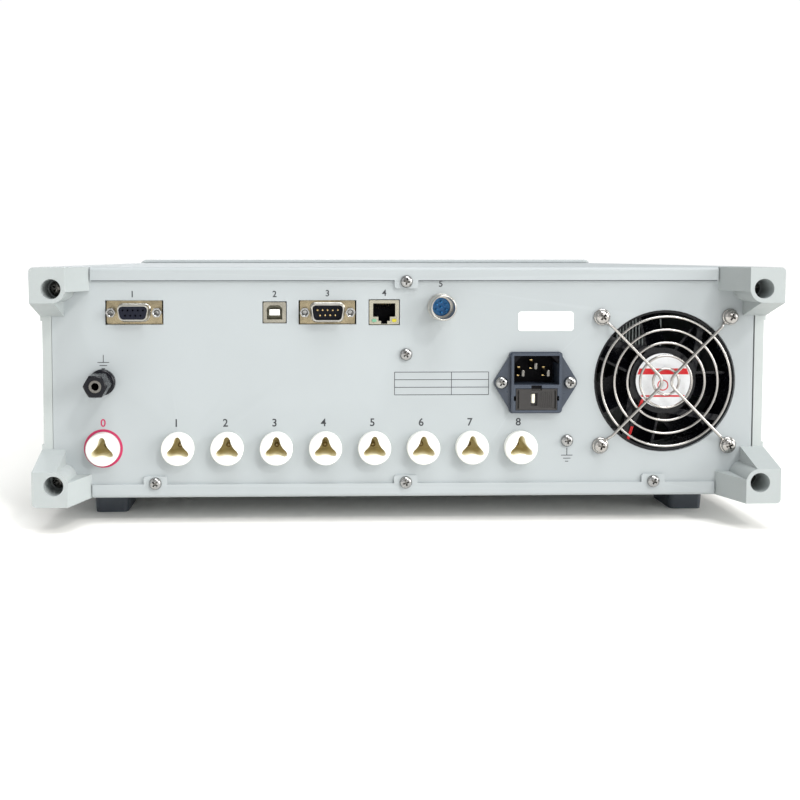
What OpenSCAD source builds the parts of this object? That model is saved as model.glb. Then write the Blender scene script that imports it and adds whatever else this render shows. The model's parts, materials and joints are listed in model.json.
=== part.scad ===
// Impulse winding tester in a three-unit bench case. The rear panel, with its row of
// channel sockets, faces -Y, +X is to the right of someone facing it, and the feet stand on z = 0.

/* [Case] */
// Width over the two side panels
body_w = 400; // [385:1:430]
// Height of the case without its feet
body_h = 127; // [125:1:140]
// Depth from the rear panel to the front frame
case_d = 380; // [340:1:420]
// Thickness of the cover and tray sheet
sheet_t = 1.5; // [1:0.1:1.8]
// Outer radius of the sheet bends
bend_r = 2; // [1.9:0.1:3]
// Thickness of the rear panel
panel_t = 2; // [1.5:0.1:2.5]
// Thickness of the side panel extrusions
side_t = 6; // [5:0.5:7]
// Gap between the rear panel and each side panel
panel_gap = 0.5; // [0.3:0.1:1.2]
// Clearance between fixed pieces that fit together
seam = 0.2; // [0.1:0.05:0.3]
// Height of the rear flange of the top cover
cover_flange_h = 7.3; // [5:0.1:9]
// Height of the rear flange of the tray
tray_flange_h = 7.4; // [5:0.1:9]
// Width of the screw tabs on the flanges
tab_w = 13; // [11:0.5:16]
// Reach of a screw tab beyond its flange
tab_reach = 4.5; // [4:0.1:6]
// Distance between the screw tabs of the tray
tab_pitch = 138; // [110:1:145]
// Height of the vent slots in the side panels
vent_h = 52; // [30:1:70]
// Width of a vent slot
vent_w = 3; // [2:0.1:3.5]
// Distance between vent slots
vent_pitch = 8; // [6:0.5:12]
// Number of vent slots in each side panel
vent_count = 14; // [6:1:18]

/* [Front frame] */
// Stand of the front frame over the case
frame_lip = 3; // [2.5:0.1:5]
// Depth of the front frame
frame_d = 26; // [22:1:34]
// Corner radius of the front frame
frame_r = 6; // [4:0.5:8]
// Depth of the case inside the front frame
pocket_d = 6; // [4:0.5:8]
// Width of the ledge that holds the front panel
ledge_w = 6; // [5:0.5:8]
// Thickness of the front panel
front_t = 3; // [2.5:0.1:4]
// Depth of the front panel behind the frame's edge
front_recess = 2; // [1:0.1:4]

/* [Corner bumpers] */
// Length of a bumper's arms where they meet the case
arm_l = 27; // [25:0.5:30]
// Thickness of a bumper's arms
arm_t = 13; // [12:0.5:15]
// Length that the bumpers stand out
bumper_l = 24; // [22:0.5:32]
// Radius of the boss round a bumper's bore
boss_r = 7.5; // [7:0.1:8]
// Distance of the bore from both outer sides
bore_in = 11.4; // [10:0.1:12]
// Radius of the bore
bore_r = 5.25; // [5:0.05:5.5]
// Thickness of the bore's floor
bore_floor = 7; // [5:0.5:9]
// Radius of the outer corner
bumper_r = 2.5; // [1:0.1:4]

/* [Feet] */
// Height of the feet
foot_h = 15; // [14:0.5:18]
// Width of a foot at the case
foot_w = 20.5; // [19.5:0.5:26]
// Length of a foot at the case
foot_l = 34; // [32:1:42]
// Inward slope of a foot's sides at its sole
foot_draft = 1; // [0.5:0.1:1.5]
// Distance between the left and right feet
feet_x = 335; // [300:1:345]
// Distance of the rear feet from the rear panel
rear_foot_in = 45; // [35:1:60]
// Distance of the front feet from the front frame
front_foot_in = 34; // [28:1:60]
// Width of a tilt leg
leg_w = 11.5; // [10:0.5:12]
// Length of a tilt leg
leg_l = 50; // [40:1:60]
// Thickness of a tilt leg
leg_t = 5; // [4:0.5:6]
// Radius of a tilt leg's pin
pin_r = 2.5; // [2:0.1:3]
// Running clearance round pins and shafts
run_fit = 0.06; // [0.04:0.01:0.09]
// Clearance beside pieces that move
move_gap = 0.3; // [0.25:0.05:0.5]

/* [Rear panel sockets] */
// Height of the channel sockets over the case's underside
channel_z = 27.3; // [24:0.1:32]
// Distance of the high-voltage and ground sockets from the case's side
left_in = 33.5; // [32:0.1:38]
// Distance from the high-voltage socket to the first channel socket
channel_first = 41; // [38:0.1:44]
// Distance from the last channel socket to the fan frame
channel_last = 40.5; // [38:0.1:46]
// Radius of a socket's collar
collar_r = 9.05; // [8.5:0.05:9.6]
// Stand of a socket's collar
collar_l = 5.5; // [4:0.1:7]
// Radius of a socket's barrel
barrel_r = 7.6; // [7.3:0.1:7.9]
// Length of a socket's barrel behind the panel
barrel_l = 27; // [24:1:32]
// Distance of the three lobes from the socket's axis
lobe_in = 5.4; // [5:0.1:5.6]
// Radius of a lobe
lobe_r = 1.4; // [1.2:0.1:1.6]
// Depth of the three-lobed recess
recess_l = 24; // [20:1:27]
// Radius of the contact in a socket
contact_r = 1.5; // [1:0.1:2]
// Length of the contact in a socket
contact_l = 8; // [5:1:12]
// Height of the ground socket over the case's underside
ground_z = 64; // [55:0.5:75]
// Radius of the ground socket's base
ground_r = 7.15; // [6.5:0.05:8]
// Radius of the ground socket's bore
banana_r = 2; // [1.9:0.05:2.1]
// Width of the ground cap across its flats
cap_af = 11.5; // [10.5:0.1:13]

/* [Ports] */
// Drop of the port row below the case's top
port_drop = 24.9; // [24:0.1:30]
// Distance from the high-voltage socket to the nine-way socket
handler_in = 17.6; // [16:0.1:24]
// Place of the square port
usb_x = -72.3; // [-76:0.1:-71.5]
// Place of the nine-way plug
serial_x = -43.3; // [-44:0.1:-42]
// Place of the network port
lan_x = -12.1; // [-13:0.1:-10]
// Place of the foot switch socket
foot_socket_x = 19; // [16:0.1:22]
// Width of the opening for a nine-way port
port_w = 31.7; // [31.2:0.1:32.5]
// Height of the opening for a nine-way port
port_h = 13.3; // [13:0.1:14.5]
// Distance between a nine-way port's jackscrews
jack_pitch = 25; // [24.5:0.1:25.2]
// Width of a jackscrew across its corners
jack_w = 5.6; // [5.4:0.1:5.7]
// Length that a nine-way shell stands out
shell_l = 5.6; // [4:0.1:7]
// Width of the square port
usb_w = 12.4; // [12:0.1:12.8]
// Height of the square port
usb_h = 11.2; // [11:0.1:11.6]
// Width of the network port
lan_w = 16.3; // [15.5:0.1:17]
// Height of the network port
lan_h = 13.3; // [13:0.1:14]
// Gap round a port in its opening
port_gap = 0.45; // [0.3:0.05:0.6]
// Radius of the foot switch socket's barrel
foot_socket_r = 7.3; // [6.9:0.1:7.8]
// Length that the foot switch socket stands out
foot_socket_l = 14; // [10:0.5:18]

/* [Mains inlet] */
// Distance from the inlet to the fan
inlet_in = 72.4; // [69:0.1:75]
// Height of the inlet over the case's underside
inlet_z = 63.2; // [60:0.1:68]
// Distance between the inlet's screws
inlet_pitch = 38; // [37:0.1:40]
// Width of the inlet's raised block
inlet_w = 28; // [27.5:0.1:29]
// Height of the inlet's raised block
inlet_h = 32.5; // [31.5:0.1:34]
// Thickness of the inlet's flange
inlet_t = 2; // [1.5:0.1:3]
// Length that the raised block stands out of the flange
inlet_rise = 2.5; // [1.5:0.1:4]
// Depth of the inlet behind the panel
inlet_l = 38; // [36:1:45]
// Width of the plug cavity
cavity_w = 25; // [24:0.1:25.5]
// Height of the plug cavity
cavity_h = 16; // [15.5:0.1:16.5]
// Depth of the plug cavity
cavity_l = 17; // [15:0.5:20]
// Width of the fuse drawer
drawer_w = 22.5; // [21.5:0.1:23.5]
// Height of the fuse drawer
drawer_h = 11.5; // [11:0.1:12]
// Length of the fuse drawer
drawer_l = 34; // [30:1:36]

/* [Fan] */
// Distance of the fan from the case's side
fan_in = 56; // [54:0.5:60]
// Height of the fan over the case's underside
fan_z = 63.6; // [58:0.1:66]
// Width of the fan frame
fan_w = 80; // [78:1:84]
// Depth of the fan frame
fan_d = 25; // [22:1:32]
// Distance between the fan's screws
fan_pitch = 71.5; // [70:0.1:72.5]
// Radius of the panel's fan opening
fan_open_r = 39.5; // [38:0.1:41]
// Number of fan blades
blade_count = 7; // [5:1:9]
// Radius at the blade tips
blade_r = 37; // [34:0.1:37.3]
// Number of rings in the wire guard
ring_count = 5; // [4:1:6]
// Radius of the guard's largest ring
ring_r = 36; // [34:0.1:37.5]
// Distance between the guard's rings
ring_pitch = 7.2; // [5.5:0.05:7.3]
// Radius of the ring wire
ring_wire_r = 0.7; // [0.6:0.05:0.8]
// Radius of the spoke wire
spoke_wire_r = 0.85; // [0.8:0.05:1]

/* [Front controls] */
// Width of the display window
window_w = 170; // [150:1:176]
// Height of the display window
window_h = 98; // [80:1:102]
// Distance of the display window from the case's side
window_in = 35; // [33:0.5:38]
// Distance of the soft keys from the display window
key_in = 19; // [17.5:0.5:22]
// Width of a soft key
key_w = 16; // [12:0.5:18]
// Height of a soft key
key_h = 10; // [8:0.5:12]
// Distance between soft keys
key_pitch = 22; // [16:0.5:24]
// Stand of the keys over the front panel
key_rise = 2.5; // [2:0.1:4]
// Travel of the keys
key_travel = 1.2; // [0.8:0.1:1.6]
// Radius of the knob
knob_r = 18; // [14:0.5:20]
// Length that the knob stands out of the frame
knob_proud = 14; // [10:1:20]
// Radius of the knob's shaft
shaft_r = 3; // [2.5:0.1:3.5]
// Distance of the start and stop buttons from the case's side
start_in = 54; // [50:1:58]
// Width of the start and stop buttons
start_w = 34; // [28:1:38]
// Height of the start and stop buttons
start_h = 24; // [18:1:28]
// Distance of the power button from the case's side
power_in = 19; // [18:0.5:21]
// Radius of the power button
power_r = 6.5; // [5:0.5:7]

/* [Inside] */
// Thickness of the circuit boards
board_t = 1.6; // [1.2:0.1:2]
// Depth of the main board
main_board_d = 150; // [110:1:170]
// Length of the power supply
supply_l = 120; // [90:1:130]
// Height of the power supply
supply_h = 40; // [30:1:45]
// Width of the pulse transformer
core_w = 72; // [60:1:78]
// Height of the pulse transformer
core_h = 60; // [50:1:64]

/* [Hidden] */
$fn = 48;

// Finishes
case_grey = [0.83, 0.86, 0.86];
slate = [0.17, 0.18, 0.2];
nickel = [0.78, 0.77, 0.74];
nylon = [0.95, 0.95, 0.93];
board_green = [0.1, 0.36, 0.24];

// Main planes, from the bumper tips at the back to the knob at the front
overall_d = bumper_l + case_d + frame_d + knob_proud;
panel_y = bumper_l - overall_d / 2;
inside_y = panel_y + panel_t;
frame_y = panel_y + case_d;
front_y = frame_y + frame_d;
bottom_z = foot_h;
top_z = bottom_z + body_h;
mid_z = bottom_z + body_h / 2;
floor_z = bottom_z + sheet_t;
inner_w = body_w - 2 * side_t - 2 * seam;
shell_end = frame_y + pocket_d - seam;

// Sheet flanges end just short of the bumper arms
arm_gap = 0.5;
flange_w = body_w - 2 * (arm_l + arm_gap);
tab_screw_in = 8;

// Places across the panels
fan_x = body_w / 2 - fan_in;
inlet_x = fan_x - inlet_in;
left_x = left_in - body_w / 2;
channel_x = left_x + channel_first;
channel_pitch = (fan_x - fan_w / 2 - channel_last - channel_x) / 7;
handler_x = left_x + handler_in;
window_x = body_w / 2 - window_in - window_w / 2;
key_x = window_x - window_w / 2 - key_in;
start_x = start_in - body_w / 2;
knob_x = (start_x + start_w / 2 + key_x - key_w / 2) / 2 - 1.5;
power_x = body_w / 2 - power_in;
panel_shift = seam - panel_gap;

// Screws: head radius, head height, shank radius
small_head = [3.5, 2.2, 1.5];
large_head = [4, 2.4, 2];
bumper_head = [4.4, 3.5, 2.4];
screw_gap = 0.1;
small_shank_l = 7;
fan_shank_l = 8;
bumper_shank_l = 26;
mid_screw_z = 78.8;
earth_screw = [inlet_x + 18.2, 30.6];

// Main board and ports
port_z = top_z - port_drop;
board_drop = max(port_h / 2 - port_gap, lan_h / 2, usb_h / 2) + board_t;
board_z = port_z - board_drop;
port_l = 12;
port_face = 0.8;
port_side_gap = 0.75;
port_rise = 0.3;
shell_wall = 0.5;
dsub_pin_pitch = 2.77;
dsub_row_pitch = 2.84;
dsub_pin_r = 0.5;
main_board_x = [24 - body_w / 2, 42];
post_r = 3.5;
post_in = 8;

// Front panel
opening_w = body_w - 2 * ledge_w;
opening_h = body_h - 2 * ledge_w;
ledge_y = front_y - front_recess - front_t;
front_w = body_w - 2 * seam;
front_h = body_h - 2 * seam;
window_t = 2;
window_lap = 4;
module_d = 8;
front_board_y = ledge_y - module_d - 2;
front_board_w = opening_w - 20;
front_board_h = opening_h - 12;
key_lip = 1.5;
key_lip_t = 1;
knob_z = 16;
start_z = 22;
power_z = -44;

// Feet
leg_slot = leg_w + 2 * move_gap;
knuckle_r = 5.5;
pin_z = 7.5;
pin_reach = 2;
rear_foot_y = panel_y + rear_foot_in;
front_foot_y = frame_y - front_foot_in;
leg_pin_y = front_foot_y + foot_l / 2 - 10;

// Straight tangent points of a convex outline with round corners
function tangents(c, r) = [for (i = [0:len(c) - 1])
    let (a = c[i], b = c[(i + 1) % len(c)], d = b - a, n = [d[1], -d[0]] / norm(d))
    each [a + n * r, b + n * r]];

// Convex outline through corner centres given anticlockwise
module rounded(c, r) {
    polygon(tangents(c, r));
    for (p = c) translate(p) circle(r);
}

// Rectangle with round corners
module slab(w, h, r) {
    x = w / 2 - r;
    y = h / 2 - r;
    rounded([[-x, -y], [x, -y], [x, y], [-x, y]], r);
}

// Outline in x and z, drawn along Y
module along_y(y, l) translate([0, y + l, 0]) rotate([90, 0, 0]) linear_extrude(l) children();

// Outline in y and z, drawn along X
module along_x(x, l) translate([x, 0, 0]) rotate([90, 0, 90]) linear_extrude(l) children();

// Round bar along Y
module ybar(r, y, l) translate([0, y, 0]) rotate([-90, 0, 0]) cylinder(r = r, h = l);

// Outline in radius and y, turned about the Y axis
module spun() rotate([-90, 0, 0]) rotate_extrude() children();

module at(x, z, y = 0) translate([x, y, z]) children();

// Straight wire between two points, with a weld bead at each end
wire_bead = 1.05;
module wire(a, b, r) {
    d = b - a;
    translate(a) rotate([0, acos(d[2] / norm(d)), atan2(d[1], d[0])])
        cylinder(r = r, h = norm(d));
    for (p = [a, b]) translate(p) sphere(r * wire_bead);
}

// Pan-head screw: head towards -Y, seat at y = 0
module pan_screw(head, l) {
    r = head[0];
    h = head[1];
    difference() {
        spun() polygon([[0, -h], [0.55 * r, -h], [0.88 * r, -0.7 * h], [r, -0.25 * h],
            [r, 0], [head[2], 0], [head[2], l], [0, l]]);
        for (a = [45, 135])
            rotate([0, a, 0]) translate([-0.55 * r, -h - 1, -0.14 * r])
                cube([1.1 * r, 1 + 0.6 * h, 0.28 * r]);
    }
}

// Rectangle from the origin to +x and -y whose corner at the origin is round
module soft_corner(w, h, r) {
    translate([r, -h]) square([w - r, h]);
    translate([0, -h]) square([w, h - r]);
    translate([r, -r]) circle(r);
}

// Section of a sheet bent down at its rear edge
module bent_sheet(l, h) {
    difference() {
        soft_corner(l, h, bend_r);
        translate([sheet_t, -sheet_t]) soft_corner(l, h, bend_r - sheet_t);
    }
}

// Sheet with a rear flange and screw tabs, bend uppermost, top face at z = 0
module flanged_sheet(flange_h, tabs) {
    difference() {
        union() {
            translate([-inner_w / 2, panel_y, -sheet_t])
                cube([inner_w, shell_end - panel_y, sheet_t]);
            along_x(-flange_w / 2, flange_w)
                translate([panel_y - sheet_t, 0]) bent_sheet(4 * bend_r, flange_h);
            for (x = tabs)
                along_y(panel_y - sheet_t, sheet_t)
                    translate([x, -(flange_h + tab_reach) / 2 - 1])
                        slab(tab_w, flange_h + tab_reach - 2, 1.5);
        }
        for (x = tabs)
            at(x, -tab_screw_in) ybar(small_head[2] + screw_gap, panel_y - 2 * sheet_t,
                3 * sheet_t);
    }
}

module top_cover() color(case_grey) translate([0, 0, top_z])
    flanged_sheet(cover_flange_h, [0]);

tray_tabs = [-tab_pitch, 0, tab_pitch];

// Posts that carry the main board
board_posts = [for (x = [main_board_x[0] + post_in, main_board_x[1] - post_in],
    y = [inside_y + 58, inside_y + main_board_d - post_in]) [x, y]];

module chassis_tray() color(case_grey) {
    translate([0, 0, bottom_z]) mirror([0, 0, 1]) flanged_sheet(tray_flange_h, tray_tabs);
    for (p = board_posts)
        translate([p[0], p[1], floor_z - 0.5]) cylinder(r = post_r, h = board_z - floor_z + 0.5);
}

module side_panel() {
    vents_y = panel_y + case_d / 2 + 20;
    difference() {
        union() {
            translate([body_w / 2 - side_t, panel_y, bottom_z])
                cube([side_t, shell_end - panel_y, body_h]);
            for (z = [bottom_z + bore_in, top_z - bore_in]) {
                at(body_w / 2 - bore_in, z) ybar(5, inside_y + seam, shell_end - inside_y - seam);
                translate([body_w / 2 - bore_in, inside_y + seam, z - 3])
                    cube([bore_in - side_t / 2, shell_end - inside_y - seam, 6]);
            }
        }
        for (z = [bottom_z + bore_in, top_z - bore_in])
            at(body_w / 2 - bore_in, z) ybar(bumper_head[2] + screw_gap, inside_y, bumper_shank_l);
        translate([body_w / 2 - 1, panel_y - 1, mid_z - vent_h / 2 - 8])
            cube([2, case_d + 2, vent_h + 16]);
        for (i = [0:vent_count - 1])
            translate([body_w / 2 - side_t / 2, vents_y + (i - (vent_count - 1) / 2) * vent_pitch,
                mid_z])
                rotate([90, 0, 90]) linear_extrude(2 * side_t, center = true)
                    slab(vent_w, vent_h, vent_w / 2 - 0.01);
    }
}

module side_panel_right() color(case_grey) side_panel();
module side_panel_left() color(case_grey) mirror([1, 0, 0]) side_panel();

// Where each socket stands on the rear panel
function socket_x(i) = channel_x + (i - 1) * channel_pitch;
socket_places = concat([left_x], [for (i = [1:8]) socket_x(i)]);
fan_holes = [for (x = [-1, 1], z = [-1, 1]) [x, z] * fan_pitch / 2];
bumper_places = [for (x = [-1, 1], z = [-1, 1])
    [x * (body_w / 2 - bore_in), mid_z + z * (body_h / 2 - bore_in)]];

module panel_holes() {
    for (x = socket_places) translate([x, bottom_z + channel_z]) circle(barrel_r + screw_gap);
    translate([left_x, bottom_z + ground_z]) circle(4 + screw_gap);
    for (x = [handler_x, serial_x]) translate([x, port_z]) square([port_w, port_h], center = true);
    translate([usb_x, port_z]) square([usb_w, usb_h] + 2 * [port_gap, port_gap], center = true);
    translate([lan_x, port_z]) square([lan_w, lan_h] + 2 * [port_gap, port_gap], center = true);
    translate([foot_socket_x, port_z + foot_rise]) circle(6 + screw_gap);
    translate([inlet_x, bottom_z + inlet_z]) {
        slab(inlet_w - 1, inlet_h - 1, 1.5);
        for (s = [-1, 1]) translate([s * inlet_pitch / 2, 0]) circle(small_head[2] + screw_gap);
    }
    translate([fan_x, bottom_z + fan_z]) {
        circle(fan_open_r);
        for (p = fan_holes) translate(p) circle(large_head[2] + screw_gap);
    }
    for (p = bumper_places) translate(p) circle(bumper_head[2] + screw_gap);
    translate([0, top_z - tab_screw_in]) circle(small_head[2] + screw_gap);
    for (x = tray_tabs) translate([x, bottom_z + tab_screw_in]) circle(small_head[2] + screw_gap);
    translate([0, bottom_z + mid_screw_z]) circle(small_head[2] + screw_gap);
    translate([earth_screw[0], bottom_z + earth_screw[1]]) circle(small_head[2] + screw_gap);
}

module rear_panel() color(case_grey) along_y(panel_y, panel_t) difference() {
    translate([panel_shift, mid_z])
        square([body_w - 2 * side_t - 2 * panel_gap, body_h - 2 * sheet_t - 2 * seam], center = true);
    panel_holes();
}

// Corner bumper: outer corner at the origin, arms along +X and +Z, standing out to -Y
module bumper() {
    tip = bore_in + boss_r;
    difference() {
        intersection() {
            union() {
                linear_extrude(arm_t)
                    polygon([[0, 0], [0, -bumper_l], [tip, -bumper_l], [arm_l, 0]]);
                along_x(0, arm_t)
                    polygon([[0, 0], [0, arm_l], [-bumper_l, tip], [-bumper_l, 0]]);
                at(bore_in, bore_in) ybar(boss_r, -bumper_l, bumper_l);
            }
            along_y(-bumper_l - 1, bumper_l + 2) union() {
                translate([bumper_r, 0]) square([arm_l, arm_l + 1]);
                translate([0, bumper_r]) square([arm_l + 1, arm_l]);
                translate([bumper_r, bumper_r]) circle(bumper_r);
            }
        }
        at(bore_in, bore_in) ybar(bore_r, -bumper_l - 1, bumper_l - bore_floor + 1);
        at(bore_in, bore_in) ybar(bumper_head[2] + screw_gap, -bumper_l, bumper_l + 1);
    }
}

module placed_bumper(sx, sz) color(case_grey)
    translate([sx * body_w / 2, panel_y, mid_z + sz * body_h / 2])
        mirror([max(sx, 0), 0, 0]) mirror([0, 0, max(sz, 0)]) bumper();

module bumper_top_left() placed_bumper(-1, 1);
module bumper_top_right() placed_bumper(1, 1);
module bumper_bottom_left() placed_bumper(-1, -1);
module bumper_bottom_right() placed_bumper(1, -1);

module bumper_screws() color(nickel)
    for (p = bumper_places) at(p[0], p[1], panel_y - bore_floor)
        pan_screw(bumper_head, bumper_shank_l);

module case_screws() color(nickel) {
    at(0, top_z - tab_screw_in, panel_y - sheet_t) pan_screw(small_head, small_shank_l);
    for (x = tray_tabs)
        at(x, bottom_z + tab_screw_in, panel_y - sheet_t) pan_screw(small_head, small_shank_l);
    at(0, bottom_z + mid_screw_z, panel_y) pan_screw(small_head, small_shank_l);
    at(earth_screw[0], bottom_z + earth_screw[1], panel_y) pan_screw(small_head, small_shank_l);
    for (s = [-1, 1])
        at(inlet_x + s * inlet_pitch / 2, bottom_z + inlet_z, panel_y - inlet_t)
            pan_screw(small_head, small_shank_l + inlet_t);
}

module front_frame() color(case_grey) translate([0, 0, mid_z]) difference() {
    along_y(frame_y, frame_d) slab(body_w + 2 * frame_lip, body_h + 2 * frame_lip, frame_r);
    along_y(frame_y - 1, pocket_d + 1) square([body_w, body_h] + 2 * [seam, seam] / 2, center = true);
    along_y(frame_y, frame_d + 1) square([opening_w, opening_h], center = true);
    along_y(ledge_y, frame_d) slab(body_w, body_h, 3);
}

// Panel with the window, key, button and knob openings, and posts for its board
module front_panel() color(case_grey) translate([0, 0, mid_z]) {
    difference() {
        along_y(ledge_y, front_t) difference() {
            slab(front_w, front_h, 3 - seam);
            translate([window_x, 0])
                slab(window_w - 2 * window_lap, window_h - 2 * window_lap, 2);
            for (i = [1:4]) translate([key_x, key_z(i)])
                slab(key_w + 2 * move_gap, key_h + 2 * move_gap, 2 + move_gap);
            for (s = [-1, 1]) translate([start_x, s * start_z])
                slab(start_w + 2 * move_gap, start_h + 2 * move_gap, 3 + move_gap);
            translate([knob_x, knob_z]) circle(shaft_r + move_gap);
            translate([power_x, power_z]) circle(power_r + move_gap);
        }
        along_y(ledge_y + front_t - window_t, window_t + 1) translate([window_x, 0])
            slab(window_w + 2 * seam, window_h + 2 * seam, 3 + seam);
    }
    for (p = front_posts)
        at(p[0], p[1]) ybar(post_r, front_board_y + board_t, ledge_y - front_board_y - board_t + 0.5);
}

post_z = front_board_h / 2 - 6;
front_posts = concat([for (x = [-front_board_w / 2 + 10, knob_x + 30], z = [-1, 1]) [x, z * post_z]],
    [[front_board_w / 2 - 10, post_z], [front_board_w / 2 - 10, -20]]);
function key_z(i) = (2.5 - i) * key_pitch;

module display_window() color([0.12, 0.16, 0.2]) translate([window_x, 0, mid_z])
    along_y(ledge_y + front_t - window_t, window_t) slab(window_w, window_h, 3);

module display_module() color([0.3, 0.32, 0.34]) translate([window_x, 0, mid_z]) difference() {
    along_y(ledge_y - module_d, module_d) square([window_w - 2, window_h - 2], center = true);
    along_y(ledge_y - 2, 3)
        square([window_w - 4 * window_lap, window_h - 4 * window_lap], center = true);
}

// Switch blocks stand clear of a pressed key
switch_top = ledge_y - key_lip_t - move_gap - key_travel - 3;

module front_board() color(board_green) translate([0, 0, mid_z]) {
    along_y(front_board_y, board_t) square([front_board_w, front_board_h], center = true);
    for (i = [1:4]) at(key_x, key_z(i)) switch_block();
    for (s = [-1, 1]) at(start_x, s * start_z) switch_block();
    at(power_x, power_z) switch_block();
    at(knob_x, knob_z) {
        along_y(front_board_y + 1, ledge_y - front_board_y - 2) square(12, center = true);
        ybar(shaft_r, front_board_y + 1, front_y + knob_proud - 5 - front_board_y - 1);
    }
}

module switch_block() along_y(front_board_y + 1, switch_top - front_board_y - 1)
    square(6, center = true);

// Push button through the front panel with a lip behind it and a stem to its switch
module key_body(w, h, r) {
    along_y(ledge_y - move_gap - key_lip_t, front_t + move_gap + key_lip_t + key_rise)
        slab(w, h, r);
    along_y(ledge_y - move_gap - key_lip_t, key_lip_t)
        slab(w + 2 * key_lip, h + 2 * key_lip, r + key_lip);
    ybar(1.5, switch_top + key_travel + move_gap, ledge_y - switch_top - key_travel);
}

module soft_key(i) color([0.75, 0.77, 0.78]) at(key_x, mid_z + key_z(i)) key_body(key_w, key_h, 2);
module soft_key_1() soft_key(1);
module soft_key_2() soft_key(2);
module soft_key_3() soft_key(3);
module soft_key_4() soft_key(4);
module start_button() color([0.15, 0.55, 0.3])
    at(start_x, mid_z + start_z) key_body(start_w, start_h, 3);
module stop_button() color([0.75, 0.12, 0.12])
    at(start_x, mid_z - start_z) key_body(start_w, start_h, 3);
module power_button() color([0.8, 0.82, 0.82])
    at(power_x, mid_z + power_z) key_body(2 * power_r, 2 * power_r, power_r - 0.01);

flute_count = 18;

module knob() color(slate) at(knob_x, mid_z + knob_z) {
    face = front_y + knob_proud;
    back = front_y - front_recess + 0.8;
    difference() {
        spun() polygon([[0, back], [knob_r, back], [knob_r, face - 2], [knob_r - 2, face],
            [0, face]]);
        ybar(shaft_r + run_fit, back - 1, face - 5 + move_gap - back + 1);
        for (i = [0:flute_count - 1]) rotate([0, i * 360 / flute_count, 0])
            at(knob_r + 0.4, 0) ybar(1.2, back - 1, face - back - 2);
        at(knob_r * 0.55, 0) ybar(3.5, face - 1.2, 3);
    }
}

// Foot with sloping sides, top at the case's underside, centred at the origin
module foot_form() hull() {
    translate([0, 0, foot_h - 0.5]) linear_extrude(0.5) slab(foot_w, foot_l, 4);
    linear_extrude(0.5) slab(foot_w - 2 * foot_draft, foot_l - 2 * foot_draft, 4 - foot_draft);
}

module rear_feet() color(slate)
    for (s = [-1, 1]) translate([s * feet_x / 2, rear_foot_y, 0]) difference() {
        foot_form();
        translate([0, 0, -1]) cylinder(r = 4, h = foot_h - 3);
    }

module front_feet() color(slate)
    for (s = [-1, 1]) translate([s * feet_x / 2, front_foot_y, 0]) difference() {
        foot_form();
        translate([-leg_slot / 2, -foot_l, -1])
            cube([leg_slot, foot_l * 1.5 - 10 + knuckle_r + 2 * move_gap, pin_z + knuckle_r + 1 + move_gap]);
        translate([-(leg_w / 2 + pin_reach + move_gap), foot_l / 2 - 10, pin_z])
            rotate([0, 90, 0]) cylinder(r = pin_r + run_fit, h = leg_w + 2 * (pin_reach + move_gap));
    }

// Tilt leg folded back under the case, its pin through the front foot
module tilt_leg(s) color(slate) translate([s * feet_x / 2, leg_pin_y, pin_z]) {
    difference() {
        union() {
            rotate([0, 90, 0]) cylinder(r = knuckle_r, h = leg_w, center = true);
            translate([-leg_w / 2, -leg_l + leg_t / 2, -leg_t / 2])
                cube([leg_w, leg_l - leg_t / 2, leg_t]);
            translate([0, -leg_l + leg_t / 2, 0]) rotate([0, 90, 0])
                cylinder(r = leg_t / 2, h = leg_w, center = true);
        }
        translate([-leg_w / 2 + 3, -leg_l + 6, -leg_t]) cube([leg_w - 6, leg_l - 18, 2 * leg_t]);
    }
    rotate([0, 90, 0]) cylinder(r = pin_r, h = leg_w + 2 * pin_reach, center = true);
}

module tilt_leg_left() tilt_leg(-1);
module tilt_leg_right() tilt_leg(1);

// Keyed outline of a nine-way shell
module dsub_outline(w, h) {
    r = 2.2;
    slope = h * tan(10) / 2;
    x = w / 2 - r;
    y = h / 2 - r;
    rounded([[-x + slope, -y], [x - slope, -y], [x, y], [-x, y]], r);
}

// Metal shell of a nine-way port whose outline is w by h
module dsub_shell(w, h) {
    difference() {
        union() {
            along_y(panel_y + port_face, port_l) translate([0, port_rise])
                slab(port_w - 2 * port_side_gap, port_h - 2 * port_gap, 0.8);
            along_y(panel_y - shell_l, shell_l + port_face + 0.5) dsub_outline(w, h);
            translate([-port_w / 2 + port_side_gap, inside_y + 1, board_z + board_t - port_z])
                cube([port_w - 2 * port_side_gap, port_l - panel_t - 1 + port_face, port_h / 2]);
        }
        along_y(panel_y - shell_l - 1, shell_l + 6)
            dsub_outline(w - 2 * shell_wall, h - 2 * shell_wall);
        for (s = [-1, 1]) at(s * jack_pitch / 2, 0) ybar(1.5 + screw_gap, panel_y, 7);
    }
}

female_w = 16.6;
female_h = 8.2;
male_w = 17.9;
male_h = 9.2;

module handler_port() color([0.72, 0.66, 0.5]) at(handler_x, port_z) dsub_shell(female_w, female_h);
module serial_port() color([0.72, 0.66, 0.5]) at(serial_x, port_z) dsub_shell(male_w, male_h);

// Pin places, five over four
dsub_pins = concat([for (i = [-2:2]) [i * dsub_pin_pitch, dsub_row_pitch / 2]],
    [for (i = [-1.5:1.5]) [i * dsub_pin_pitch, -dsub_row_pitch / 2]]);

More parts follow.
